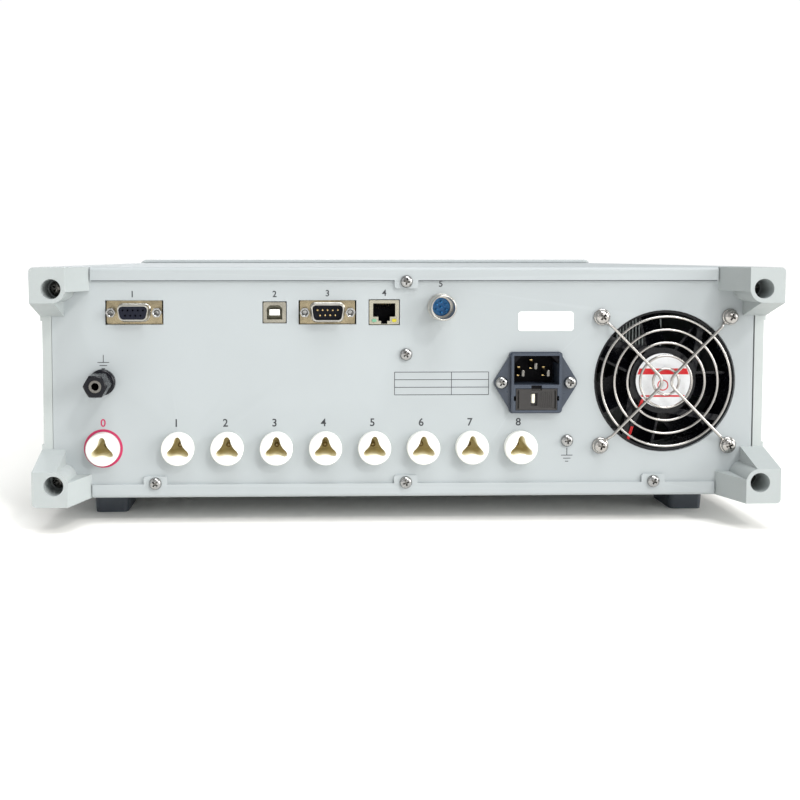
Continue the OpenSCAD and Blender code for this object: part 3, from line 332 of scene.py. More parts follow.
WHITE_INK = Finish("white_print", srgb(236, 238, 238), 0.45, 0.05, (0.02, 4), (2, 0.7))
PAPER = Finish("white_label", srgb(240, 242, 240), 0.42, 0.05, (0.012, 9), (3, 0.6))
STICKER = Finish("fan_sticker", srgb(226, 228, 230), 0.3, 0.05, (0.02, 8), (2, 0.4), coat=0.3)
STICKER_RED = Finish("fan_sticker_red", srgb(200, 30, 36), 0.3, 0.05, (0.04, 8), (1, 0.7))
FLOOR = Finish("studio_floor", (0.93, 0.918, 0.89), 0.85, 0.05, (0.006, 400), (40, 3), specular=0.2)


def linked(name: str, data: bpy.types.ID) -> bpy.types.Object:
    """Makes an object of some data, in the scene."""
    made = bpy.data.objects.new(name, data)
    bpy.context.scene.collection.objects.link(made)
    return made


def meshed(curve: bpy.types.Curve) -> bpy.types.Mesh:
    """Turns a curve or a text into a mesh, and frees it.

    Args:
        curve: The curve or text.

    Returns:
        The mesh.
    """
    holder = bpy.data.objects.new("scrap", curve)
    mesh = bpy.data.meshes.new_from_object(holder)
    bpy.data.objects.remove(holder)
    bpy.data.curves.remove(curve)
    return mesh


def node_slot(node: str) -> str:
    """The record's material slot of a node."""
    return next(s["material_slot"] for s in frame["record"]["subparts"] if s["node"] == node)


def node_body(node: str) -> str:
    """The body that a node belongs to."""
    bodies = frame["record"]["behaviour"]["bodies"]
    return next(body for body, nodes in bodies.items() if node in nodes)


def circle(radius: float, centre: Flat = (0, 0), steps: int = 48) -> list[Flat]:
    """Points round a circle."""
    return [(centre[0] + radius * math.cos(a), centre[1] + radius * math.sin(a))
            for a in (math.tau * i / steps for i in range(steps))]


def slab(width: float, height: float, radius: float, centre: Flat = (0, 0),
         steps: int = 6) -> list[Flat]:
    """Rectangle with round corners.

    Args:
        width: Its width.
        height: Its height.
        radius: Radius of its corners.
        centre: Its centre.
        steps: Sides of each corner.

    Returns:
        Its points, anticlockwise.
    """
    points = []
    for quarter, (sx, sy) in enumerate(((1, 1), (-1, 1), (-1, -1), (1, -1))):
        cx = centre[0] + sx * (width / 2 - radius)
        cy = centre[1] + sy * (height / 2 - radius)
        for i in range(steps + 1):
            angle = math.radians(90 * (quarter + i / steps))
            points.append((cx + radius * math.cos(angle), cy + radius * math.sin(angle)))
    return points


def keyed(width: float, height: float, radius: float, centre: Flat) -> list[Flat]:
    """Outline of a nine-way shell, which is wider at its top.

    Args:
        width: Width at its top.
        height: Its height.
        radius: Radius of its corners.
        centre: Its centre.

    Returns:
        Its points.
    """
    lean = math.tan(math.radians(10)) / 2
    return [(x + (z - centre[1]) * lean * (1 if x > centre[0] else -1), z)
            for x, z in slab(width - height * lean, height, radius, centre, 8)]


def bent(points: list[Point], radius: float, steps: int = 6) -> list[Vector]:
    """Rounds the corners of a wire's path.

    Args:
        points: Corners of the path.
        radius: Length taken off each side of a corner.
        steps: Points on each bend.

    Returns:
        The points of the rounded path.
    """
    line = [Vector(p) for p in points]
    path = [line[0]]
    for before, corner, after in zip(line, line[1:], line[2:]):
        reach = min(radius, (before - corner).length / 2, (after - corner).length / 2)
        start = corner + (before - corner).normalized() * reach
        end = corner + (after - corner).normalized() * reach
        path += [start * (1 - t) ** 2 + corner * 2 * t * (1 - t) + end * t ** 2
                 for t in (i / steps for i in range(steps + 1))]
    return path + [line[-1]]


class Form:
    """A mesh in millimetres while it is shaped, in the part's frame."""

    def __init__(self) -> None:
        """Starts an empty mesh."""
        self.bm = bmesh.new()

    @classmethod
    def of_node(cls, node: str) -> "Form":
        """Copies a node of the part, with its loose triangles merged to flat faces."""
        form = cls()
        form.bm.from_mesh(frame["nodes"][node].data)
        bmesh.ops.scale(form.bm, vec=(1 / MM,) * 3, verts=form.bm.verts)
        bmesh.ops.remove_doubles(form.bm, verts=form.bm.verts, dist=NODE_GAP)
        bmesh.ops.dissolve_limit(form.bm, angle_limit=FLAT_ANGLE, verts=form.bm.verts,
                                 edges=form.bm.edges, use_dissolve_boundaries=False)
        return form

    def prism(self, outline: list[Flat], low: float, high: float, axis: Axis = Axis.Y) -> "Form":
        """Extrudes a flat outline along an axis.

        Args:
            outline: Corners of the outline.
            low: Where it starts.
            high: Where it ends.
            axis: Axis that it runs along.

        Returns:
            This form.
        """
        face = self.bm.faces.new([self.bm.verts.new(axis.place(p, low)) for p in outline])
        return self._extrude([face], axis.vector(high - low))

    def bar(self, low: Flat, high: Flat, start: float, end: float, axis: Axis = Axis.Y) -> "Form":
        """Extrudes the rectangle between two corners along an axis."""
        return self.prism([low, (high[0], low[1]), high, (low[0], high[1])], start, end, axis)

    def ring(self, radii: Flat, centre: Flat, low: float, high: float,
             steps: int = 48) -> "Form":
        """Extrudes the band between two circles along Y.

        Args:
            radii: Radius of the outer and of the inner circle.
            centre: Their middle.
            low: Where it starts.
            high: Where it ends.
            steps: Sides round it.

        Returns:
            This form.
        """
        outer, inner = (self._loop(circle(radius, centre, steps), low) for radius in radii)
        band = bmesh.ops.bridge_loops(self.bm, edges=outer + inner)["faces"]
        return self._extrude(band, Axis.Y.vector(high - low))

    def loft(self, rings: list[tuple[list[Flat], float]]) -> "Form":
        """Joins outlines of as many corners, each at its own height along Y.

        Args:
            rings: Outlines and their heights.

        Returns:
            This form.
        """
        loops = [self._loop(outline, height) for outline, height in rings]
        faces = []
        for first, second in zip(loops, loops[1:]):
            faces += bmesh.ops.bridge_loops(self.bm, edges=first + second)["faces"]
        bmesh.ops.recalc_face_normals(self.bm, faces=faces)
        return self

    def turned(self, profile: list[Flat], centre: Point = (0, 0, 0), axis: Axis = Axis.Y,
               steps: int = 40) -> "Form":
        """Turns a profile of radius and height about an axis.

        Args:
            profile: Radius and height of each point.
            centre: Point that the axis runs through.
            axis: Axis that it turns about.
            steps: Sides round the axis.

        Returns:
            This form.
        """
        middle = Vector(centre)
        points = [self.bm.verts.new(middle + axis.place((r, 0), h)) for r, h in profile]
        edges = [self.bm.edges.new(pair) for pair in zip(points, points[1:])]
        bmesh.ops.spin(self.bm, geom=points + edges, cent=middle, axis=axis.vector(),
                       angle=math.tau, steps=steps, use_merge=True)
        shell = self._island(points[0])
        bmesh.ops.remove_doubles(self.bm, verts=shell, dist=POLE_GAP)
        self._face_out([v for v in shell if v.is_valid])
        return self

    def words(self, text: str, height: float, centre: Flat, y: float, thick: float,
              turn: float = 0) -> "Form":
        """Adds plain numbers that face -Y, or +Y when turned by 180 degrees.

        Args:
            text: What they say.
            height: Their height.
            centre: Where their middle is, in x and z.
            y: Where their side towards +Y is.
            thick: Their thickness.
            turn: Degrees to turn them about Z.

        Returns:
            This form.
        """
        curve = bpy.data.curves.new("print", "FONT")
        curve.body = text
        curve.align_x, curve.align_y = "CENTER", "CENTER"
        curve.size = height / DIGIT_HEIGHT
        curve.offset = DIGIT_BOLD * height
        curve.extrude = thick / 2
        curve.resolution_u = 4
        stand = Matrix.Rotation(math.radians(turn), 4, "Z") @ Matrix.Rotation(math.pi / 2, 4, "X")
        move = Matrix.Translation((centre[0], y - thick / 2, centre[1]))
        return self.add_mesh(meshed(curve), move @ stand)

    def _loop(self, outline: list[Flat], height: float) -> list[bmesh.types.BMEdge]:
        """Closed line of edges round an outline, at a height along Y."""
        corners = [self.bm.verts.new(Axis.Y.place(p, height)) for p in outline]
        return [self.bm.edges.new(pair) for pair in zip(corners, corners[1:] + corners[:1])]

    def _extrude(self, faces: list[bmesh.types.BMFace], way: Vector) -> "Form":
        """Extrudes faces into a closed body.

        Args:
            faces: The faces, which stay as its floor.
            way: Where it reaches from them.

        Returns:
            This form.
        """
        floor = [v for face in faces for v in face.verts]
        grown = bmesh.ops.extrude_face_region(self.bm, geom=faces, use_keep_orig=True)
        top = [g for g in grown["geom"] if isinstance(g, bmesh.types.BMVert)]
        bmesh.ops.translate(self.bm, vec=way, verts=top)
        self._face_out(floor + top)
        return self

    def _face_out(self, verts: list[bmesh.types.BMVert]) -> None:
        """Points the faces at some vertices outwards."""
        faces = {face for vert in verts for face in vert.link_faces}
        bmesh.ops.recalc_face_normals(self.bm, faces=list(faces))

    def _island(self, start: bmesh.types.BMVert) -> list[bmesh.types.BMVert]:
        """All vertices that edges join to one."""
        seen, queue = {start}, [start]
        while queue:
            for edge in queue.pop().link_edges:
                new = [vert for vert in edge.verts if vert not in seen]
                seen.update(new)
                queue += new
        return list(seen)

    def add(self, other: "Form", move: Point = (0, 0, 0), turn: float = 0) -> "Form":
        """Adds a copy of another form, turned by degrees about Y and then moved."""
        mesh = bpy.data.meshes.new("scrap")
        other.bm.to_mesh(mesh)
        return self.add_mesh(
            mesh, Matrix.Translation(move) @ Matrix.Rotation(math.radians(turn), 4, "Y"))

    def add_mesh(self, mesh: bpy.types.Mesh, transform: Matrix) -> "Form":
        """Adds a mesh through a transform, and frees it."""
        mesh.transform(transform)
        self.bm.from_mesh(mesh)
        bpy.data.meshes.remove(mesh)
        return self

    def cut(self, cutter: "Form") -> "Form":
        """Cuts another form out of this one."""
        bodies = []
        for form in (self, cutter):
            mesh = bpy.data.meshes.new("scrap")
            form.bm.to_mesh(mesh)
            bodies.append(linked("scrap", mesh))
        tool = bodies[0].modifiers.new("cut", "BOOLEAN")
        tool.operation, tool.solver, tool.object = "DIFFERENCE", "EXACT", bodies[1]
        bpy.context.view_layer.update()
        result = bpy.data.meshes.new_from_object(
            bodies[0].evaluated_get(bpy.context.evaluated_depsgraph_get()))
        self.bm.clear()
        self.bm.from_mesh(result)
        bpy.data.meshes.remove(result)
        for body in bodies:
            mesh = body.data
            bpy.data.objects.remove(body)
            bpy.data.meshes.remove(mesh)
        return self

    def soften(self, width: float, segments: int = 2) -> "Form":
        """Rounds the edges that are sharp.

        Args:
            width: Width of the rounding.
            segments: Faces across it.

        Returns:
            This form.
        """
        edges = [e for e in self.bm.edges if len(e.link_faces) == 2
                 and SHARP_ANGLE < e.calc_face_angle() < math.pi]
        if edges:
            bmesh.ops.bevel(self.bm, geom=edges, offset=width, offset_type="OFFSET",
                            segments=segments, profile=0.5, affect="EDGES",
                            clamp_overlap=True, material=-1)
        return self

    def paint(self, index: int, test: Callable[[Vector, Vector], bool]) -> "Form":
        """Gives a material index to the faces whose centre and normal pass a test."""
        for face in self.bm.faces:
            if test(face.calc_center_median(), face.normal):
                face.material_index = index
        return self

    def within(self, index: int, low: Point, high: Point) -> "Form":
        """Gives a material index to the faces whose corners all lie in a box."""
        for face in self.bm.faces:
            if all(a <= c <= b for v in face.verts for a, c, b in zip(low, v.co, high)):
                face.material_index = index
        return self

    def mesh(self, name: str) -> bpy.types.Mesh:
        """Ends the form as a mesh in metres."""
        bmesh.ops.scale(self.bm, vec=(MM,) * 3, verts=self.bm.verts)
        mesh = bpy.data.meshes.new(name)
        self.bm.to_mesh(mesh)
        self.bm.free()
        return mesh

    def piece(self, name: str, finishes: Finish | list[Finish], body: str, slot: str,
              *replaced: str, smooth: float = 34) -> None:
        """Makes the form a piece that rides on a body.

        Args:
            name: Name of the piece.
            finishes: Its finish, or one for each material index.
            body: Body that it rides on.
            slot: Material slot of the record that it stands for; not used.
            *replaced: Nodes that it replaces.
            smooth: Largest angle in degrees that is shaded smooth.
        """
        mesh = self.mesh(name)
        mesh.shade_smooth()
        mesh.set_sharp_from_angle(angle=math.radians(smooth))
        for finish in finishes if isinstance(finishes, list) else [finishes]:
            mesh.materials.append(finish.material())
        made = linked(name, mesh)
        level = made.modifiers.new("flat_faces", "WEIGHTED_NORMAL")
        level.keep_sharp, level.weight = True, 80
        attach(made, body)
        if replaced:
            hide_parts(*replaced)
        log.info("%s: %d faces on %s", name, len(mesh.polygons), body)

    def trim(self, name: str, finish: Finish, slot: str, smooth: float = 34) -> None:
        """Makes the form a piece of its own on the case."""
        self.piece(name, finish, "case", slot, smooth=smooth)

    def stand_in(self, node: str, name: str, finishes: Finish | list[Finish],
                 smooth: float = 34) -> None:
        """Makes the form a piece that takes a node's place and body."""
        self.piece(name, finishes, node_body(node), node_slot(node), node, smooth=smooth)


class Wires:
    """Round wires that are swept along their paths."""

    def __init__(self, radius: float, sides: int = 4) -> None:
        """Starts a curve.

        Args:
            radius: Radius of the wire.
            sides: Half the sides round it, less two.
        """
        self.curve = bpy.data.curves.new("wires", "CURVE")
        self.curve.dimensions = "3D"
        self.curve.bevel_depth = radius
        self.curve.bevel_resolution = sides
        self.curve.use_fill_caps = True

    def run(self, points: list[Vector], closed: bool = False) -> "Wires":
        """Adds a path, open or closed."""
        spline = self.curve.splines.new("POLY")
        spline.points.add(len(points) - 1)
        for spot, point in zip(spline.points, points):
            spot.co = (*point, 1)
        spline.use_cyclic_u = closed
        return self

    def hoop(self, radius: float, centre: Point, steps: int = 96) -> "Wires":
        """Adds a ring that faces along Y."""
        x, y, z = centre
        return self.run([Vector((u, y, v)) for u, v in circle(radius, (x, z), steps)], True)

    def into(self, form: Form) -> Form:
        """Adds the swept wires to a form."""
        return form.add_mesh(meshed(self.curve), Matrix.Identity(4))


@dataclass
class Layout:
    """Where the rear panel's pieces are, as in the part."""
    panel_y: float = -198.0
    base_z: float = 15.0
    top_z: float = 142.0
    sheet: float = 1.5
    screw_edge: float = 8.0
    bottom_xs: tuple[float, ...] = (-138, 0, 138)
    middle_z: float = 93.8
    channel_xs: tuple[float, ...] = tuple(-125.5 + 27 * i for i in range(8))
    left_x: float = -166.5
    socket_z: float = 42.3
    ground_z: float = 79.0
    port_z: float = 117.1
    handler_x: float = -148.9
    usb_x: float = -72.3
    serial_x: float = -43.3
    lan_x: float = -12.1
    foot_x: float = 19.0
    inlet: Flat = (71.6, 78.2)
    inlet_pitch: float = 19.0
    inlet_seat: float = 2.0
    fan: Flat = (144.0, 78.6)
    fan_pitch: float = 35.75
    fan_seat: float = 1.7
    earth: Flat = (89.8, 45.6)
    bumper_x: float = 188.6
    bumper_zs: Flat = (26.4, 130.6)
    bumper_seat: float = 7.0

    @property
    def case_seats(self) -> list[Point]:
        """Seats of the panel's screws."""
        tab, flat = self.panel_y - self.sheet, self.panel_y
        low = self.base_z + self.screw_edge
        return ([(0, tab, self.top_z - self.screw_edge)] + [(x, tab, low) for x in self.bottom_xs]
                + [(0, flat, self.middle_z), (self.earth[0], flat, self.earth[1])]
                + [(self.inlet[0] + s * self.inlet_pitch, flat - self.inlet_seat, self.inlet[1])
                   for s in (-1, 1)])

    @property
    def fan_seats(self) -> list[Point]:
        """Seats of the fan's screws."""
        return [(self.fan[0] + sx * self.fan_pitch, self.panel_y - self.fan_seat,
                 self.fan[1] + sz * self.fan_pitch) for sx in (-1, 1) for sz in (-1, 1)]

    @property
    def bumper_seats(self) -> list[Point]:
        """Seats of the bumpers' screws."""
        return [(sx * self.bumper_x, self.panel_y - self.bumper_seat, z)
                for sx in (-1, 1) for z in self.bumper_zs]


@dataclass
class Screws:
    """Pan-head screws with cross recesses, one piece for each node."""
    small: Flat = (3.5, 2.3)
    large: Flat = (4.0, 2.5)
    deep: Flat = (4.4, 3.4)
    shank_l: float = 3.5
    turns: tuple[int, ...] = (12, 40, 71, 25, 58, 83, 33, 5)
    dome: tuple[Flat, ...] = (
        (0, -1), (0.3, -0.99), (0.55, -0.93), (0.74, -0.8), (0.88, -0.6), (0.96, -0.36),
        (1, -0.12), (0.985, 0), (0.3, 0), (0, 0))

    def head(self, radius: float, height: float) -> Form:
        """One screw head whose seat is at the origin, facing -Y.

        Args:
            radius: Radius of the head.
            height: Height of the head.

        Returns:
            The head, with its recess on material 1, where painted shade darkens the cross recess.
        """
        head = Form().turned([(r * radius, h * height) for r, h in self.dome])
        wide, narrow, thick = 0.58 * radius, 0.26 * radius, 0.13 * radius
        mouth, floor = -height - 0.5, -0.25 * height
        blade = Form().prism([(-wide, mouth), (wide, mouth), (narrow, floor), (-narrow, floor)],
                             -thick, thick, Axis.Z)
        for turn in (0, 90):
            head.cut(Form().add(blade, turn=turn))
        # Painted shade: the faces of the cross recess go on material 1, a darker metal.
        return head.paint(1, lambda c, n: math.hypot(c.x, c.z) < 0.6 * radius
                          and c.y > -0.88 * height and (abs(n.y) < 0.6 or c.y > -0.4 * height))

    def group(self, name: str, size: Flat, seats: list[Point], finish: Finish, node: str) -> None:
        """Places one kind of screw.

        Args:
            name: Name of the piece.
            size: Radius and height of the head.
            seats: Where the heads are seated.
            finish: Their finish.
            node: Node that they replace.
        """
        head = self.head(*size)
        rod = 0.4 * size[0]
        form = Form()
        for seat, turn in zip(seats, self.turns):
            form.add(head, seat, turn)
            form.add(Form().turned(
                [(0, 0), (rod, 0), (rod, self.shank_l), (0, self.shank_l)], seat, steps=16))
        # Material 1 paints shade into each cross recess.
        form.stand_in(node, name, [finish, DARK_STEEL_AND_SHADE], smooth=50)

    def build(self, layout: Layout) -> None:
        """Makes every screw."""
        self.group("panel_screws", self.small, layout.case_seats, NICKEL, "case_screws")
        self.group("guard_screws", self.large, layout.fan_seats, CHROME_WIRE, "fan_screws")
        self.group("corner_screws", self.deep, layout.bumper_seats, DARK_STEEL_AND_SHADE, "bumper_screws")


@dataclass
class Prints:
    """Plain numbers, lines and a label on the rear panel."""
    proud: float = 0.04
    number_h: float = 4.2
    number_z: float = 41.0
    zero_z: float = 41.2
    port_h: float = 3.4
    port_zs: tuple[float, ...] = (112, 112, 112.4, 112.6, 117.6)
    halo: Flat = (10.65, 9.3)
    label: tuple[float, ...] = (30.7, 10.7, 1.6)
    label_at: Flat = (77.3, 97.0)
    label_t: float = 0.12
    table_xs: tuple[float, ...] = (-6.3, 25.2, 45.8)
    table_z: Flat = (71.4, 84.0)
    table_rows: int = 3
    rule: float = 0.34
    earth_rows: tuple[float, ...] = (3.2, 2.1, 0.9)
    earth_pitch: float = 1.7
    stem: float = 4.0
    stroke: float = 0.4

    def build(self, layout: Layout) -> None:
        """Makes the prints.

        Args:
            layout: Where the panel's pieces are.
        """
        y, base, left = layout.panel_y, layout.base_z, layout.left_x
        ports = (layout.handler_x - 1, layout.usb_x, layout.serial_x, layout.lan_x, layout.foot_x)
        ink = Form()
        for number, x in enumerate(layout.channel_xs, 1):
            ink.words(str(number), self.number_h, (x - 1, base + self.number_z), y, self.proud)
        for number, (x, z) in enumerate(zip(ports, self.port_zs), 1):
            ink.words(str(number), self.port_h, (x, base + z), y, self.proud)
        self.table(ink, y)
        self.earth(ink, (layout.earth[0], layout.earth[1] - 4), y)
        self.earth(ink, (left + 0.5, layout.ground_z + 15), y)
        ink.trim("panel_print", INK, "case_paint")
        red = Form().words("0", self.number_h, (left, base + self.zero_z), y, self.proud)
        red.ring(self.halo, (left, layout.socket_z), y - self.proud, y, 96)
        red.trim("red_print", CRIMSON, "case_paint")
        x, z = self.label_at
        label = Form().prism(slab(*self.label, (x, base + z)), y - self.label_t, y)
        label.trim("blank_label", PAPER, "case_paint")

    def table(self, form: Form, y: float) -> None:
        """Adds the ruled table.

        Args:
            form: Form to add it to.
            y: Where the panel's face is.
        """
        (low, high), half = self.table_z, self.rule / 2
        for i in range(self.table_rows + 1):
            z = low + (high - low) * i / self.table_rows
            form.bar((self.table_xs[0], z - half), (self.table_xs[-1], z + half), y - self.proud, y)
        for x in self.table_xs:
            form.bar((x - half, low), (x + half, high), y - self.proud, y)

    def earth(self, form: Form, top: Flat, y: float) -> None:
        """Adds an earth symbol.

        Args:
            form: Form to add it to.
            top: Top of its stem.
            y: Where the panel's face is.
        """
        x, foot = top[0], top[1] - self.stem
        form.bar((x - self.stroke / 2, foot), (x + self.stroke / 2, top[1]), y - self.proud, y)
        for i, half in enumerate(self.earth_rows):
            row = foot - self.earth_pitch * i
            form.bar((x - half, row - self.stroke), (x + half, row), y - self.proud, y)


@dataclass
class Front:
    """Dark screen, key symbols and the scale round the knob."""
    proud: float = 0.05
    sunk: float = 0.02
    screen: Flat = (153.0, 86.0)
    start: tuple[Flat, ...] = ((4.5, 5.2), (-4.9, 0), (4.5, -5.2))
    stop: float = 8.6
    key_h: float = 3.6
    power: Flat = (2.9, 2.45)
    scale_r: float = 21.5
    tick: Flat = (2.6, 3.8)
    line: float = 0.5

    def place(self, node: str) -> Point:
        """Middle of a node's front face, in millimetres."""
        low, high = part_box(node)
        return (low[0] + high[0]) / 2 / MM, high[1] / MM, (low[2] + high[2]) / 2 / MM

    def print_on(self, node: str, outline: list[Flat], name: str, finish: Finish) -> None:
        """Prints a filled outline on a node's front face.

        Args:
            node: The node.
            outline: Corners of the outline about its middle.
            name: Name of the print.
            finish: Its finish.
        """
        x, y, z = self.place(node)
        form = Form().prism([(x + u, z + v) for u, v in outline], y - self.sunk, y + self.proud)
        form.piece(name, finish, node_body(node), node_slot(node))

    def build(self, layout: Layout) -> None:
        """Makes the screen and the front's prints, which follow their nodes and no layout."""
        self.print_on("display_window", slab(*self.screen, 1.2), "screen_area", SCREEN)
        self.panel_print()
        self.print_on("start_button", list(self.start), "start_button_mark", WHITE_INK)
        self.print_on("stop_button", slab(self.stop, self.stop, 0.6), "stop_button_mark", WHITE_INK)
        for i in range(1, 5):
            x, y, z = self.place(f"soft_key_{i}")
            mark = Form().words(str(i), self.key_h, (x, z), y + self.proud, self.proud, 180)
            mark.piece(f"soft_key_{i}_mark", INK, node_body(f"soft_key_{i}"), "key_plastic")
        x, y, z = self.place("power_button")
        mark = Form().ring(self.power, (x, z), y - self.sunk, y + self.proud)
        mark.prism(slab(0.55, 3, 0.2, (x, z + 2.3)), y - self.sunk, y + self.proud)
        mark.piece("power_button_mark", INK, node_body("power_button"), "key_plastic")

    def panel_print(self) -> None:
        """Prints the scale round the knob and the lines from the window to its keys."""
        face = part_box("front_panel")[1][1] / MM
        x, _, z = self.place("knob")
        form = Form()
        for i in range(11):
            outline = slab(0.5, self.tick[i % 5 == 0], 0.15, (0, self.scale_r))
            tick = Form().prism(outline, face - self.sunk, face + self.proud)
            form.add(tick, (x, 0, z), -150 + 30 * i)
        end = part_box("display_window")[0][0] / MM - 1.5
        for i in range(1, 5):
            low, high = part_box(f"soft_key_{i}")
            start, middle = high[0] / MM + 2.2, (low[2] + high[2]) / 2 / MM
            form.bar((start, middle - self.line / 2), (end, middle + self.line / 2),
                     face - self.sunk, face + self.proud)
        form.trim("front_print", INK, "case_paint")


@dataclass
class Guard:
    """Wire guard over the fan: rings under two hairpin spokes that end in eyes."""
    rings: tuple[float, ...] = (36.0, 28.8, 21.6, 14.4, 7.2)
    ring_wire: float = 0.7
    spoke_wire: float = 0.85
    spoke_y: float = -3.4
    pressed: float = 0.25
    eye_r: float = 3.75
    hairpin: float = 0.5
    rim: float = 42.5
    step_bend: float = 1.2
    hairpin_bend: float = 6.5

    def build(self, layout: Layout) -> None:
        """Makes the guard.

        Args:
            layout: Where the fan is.
        """
        (cx, cz), y = layout.fan, layout.panel_y
        low, high = y - self.spoke_wire, y + self.spoke_y
        form = Form()
        hoops = Wires(self.ring_wire)
        for radius in self.rings:
            hoops.hoop(radius, (cx, high + self.spoke_wire + self.ring_wire - self.pressed, cz))
        hoops.into(form)
        spokes = Wires(self.spoke_wire)
        near = layout.fan_pitch - self.eye_r * math.sqrt(0.5)
        rise = ((near, low), (near - 1, low), (self.rim * math.sqrt(0.5), high))
        for side in (-1, 1):
            up, down = ([(cx + side * reach, height, cz + way * reach) for reach, height in rise]
                        for way in (1, -1))
            hairpin = bent([up[-1], (cx + side * self.hairpin, high, cz), down[-1]],
                           self.hairpin_bend, 14)
            spokes.run(bent(up, self.step_bend, 5)[:-1] + hairpin
                       + bent(down[::-1], self.step_bend, 5)[1:])
            for way in (-1, 1):
                spokes.hoop(self.eye_r, (cx + side * layout.fan_pitch, low,
                                         cz + way * layout.fan_pitch), 40)
        spokes.into(form)
        form.stand_in("fan_guard", "wire_guard", CHROME_WIRE, smooth=60)


@dataclass
class FanFace:
    """Sticker and wires on the fan's fixed hub."""
    hub_depth: float = 3.0
    hub_r: float = 15.3
    sticker_t: float = 0.12
    stripes: tuple[Flat, ...] = ((3.4, 6.8), (-9.2, -8.2))
    margin: float = 0.4
    mark: Flat = (3.1, 2.5)
    mark_z: float = -2.6
    print_y: Flat = (-0.16, -0.1)
    lead_r: float = 0.42
    lead_pitch: float = 0.82
    lead: tuple[Point, ...] = ((-10.6, 2.2, -8.8), (-12.2, -0.6, -11.4), (-16, -0.6, -21),
                               (-20.4, -0.2, -35), (-21.2, 7, -36.4))
    clip: tuple[float, ...] = (2.4, 11, 0.6)
    clip_y: Flat = (-1.1, 0.4)
    clip_at: Flat = (-15.2, -20.5)
    clip_turn: float = 26

    def build(self, layout: Layout) -> None:
        """Makes the hub's sticker and the fan's wires.

        Args:
            layout: Where the fan is.
        """
        (cx, cz), face = layout.fan, layout.panel_y + self.hub_depth
        Form().prism(circle(self.hub_r, (cx, cz), 72), face - self.sticker_t, face).trim(
            "hub_sticker", STICKER, "fan_plastic")
        back, front = (face + y for y in self.print_y)
        band = Form()
        for low, high in self.stripes:
            foot, head = (math.sqrt(self.hub_r ** 2 - z ** 2) - self.margin for z in (low, high))
            band.prism([(cx - foot, cz + low), (cx + foot, cz + low), (cx + head, cz + high),
                        (cx - head, cz + high)], back, front)
        band.ring(self.mark, (cx, cz + self.mark_z), back, front)
        band.trim("hub_sticker_print", STICKER_RED, "fan_plastic")
        leads = Wires(self.lead_r)
        for i in range(2):
            shift = cx + self.lead_pitch * i
            leads.run(bent([(shift + x, face + y, cz + z) for x, y, z in self.lead], 3, 5))
        leads.into(Form()).trim("fan_leads", RED_WIRE, "fan_plastic", smooth=60)
        clip = Form().prism(slab(*self.clip, steps=3), *self.clip_y).soften(0.2)
        Form().add(clip, (cx + self.clip_at[0], face, cz + self.clip_at[1]), self.clip_turn).trim(
            "lead_clip", FAN_BLACK, "fan_plastic")


@dataclass
class Sockets:
    """High-voltage and channel sockets: white collars with a recess of painted shade that turns
    warmer and darker with depth, and a faint painted glow.
    """
    mouth_r: float = 6.95
    collar_l: float = 5.5
    lip: float = 0.25

    def build(self, layout: Layout) -> None:
        """Makes each socket from its node.

        Args:
            layout: Where the sockets are.
        """
        face = layout.panel_y - self.collar_l + self.lip
        names = ["hv_socket"] + [f"channel_socket_{i + 1}" for i in range(8)]
        for node, x in zip(names, (layout.left_x, *layout.channel_xs)):
            form = Form.of_node(node).soften(0.3, 3)
            # The recess faces get painted shade that deepens inwards, and a faint painted glow.
            form.paint(1, lambda c, n, x=x: c.y > face and math.hypot(
                c.x - x, c.z - layout.socket_z) < self.mouth_r)
            form.stand_in(node, f"{node}_body", [NYLON, RECESS_PAINTED_SHADE], smooth=40)


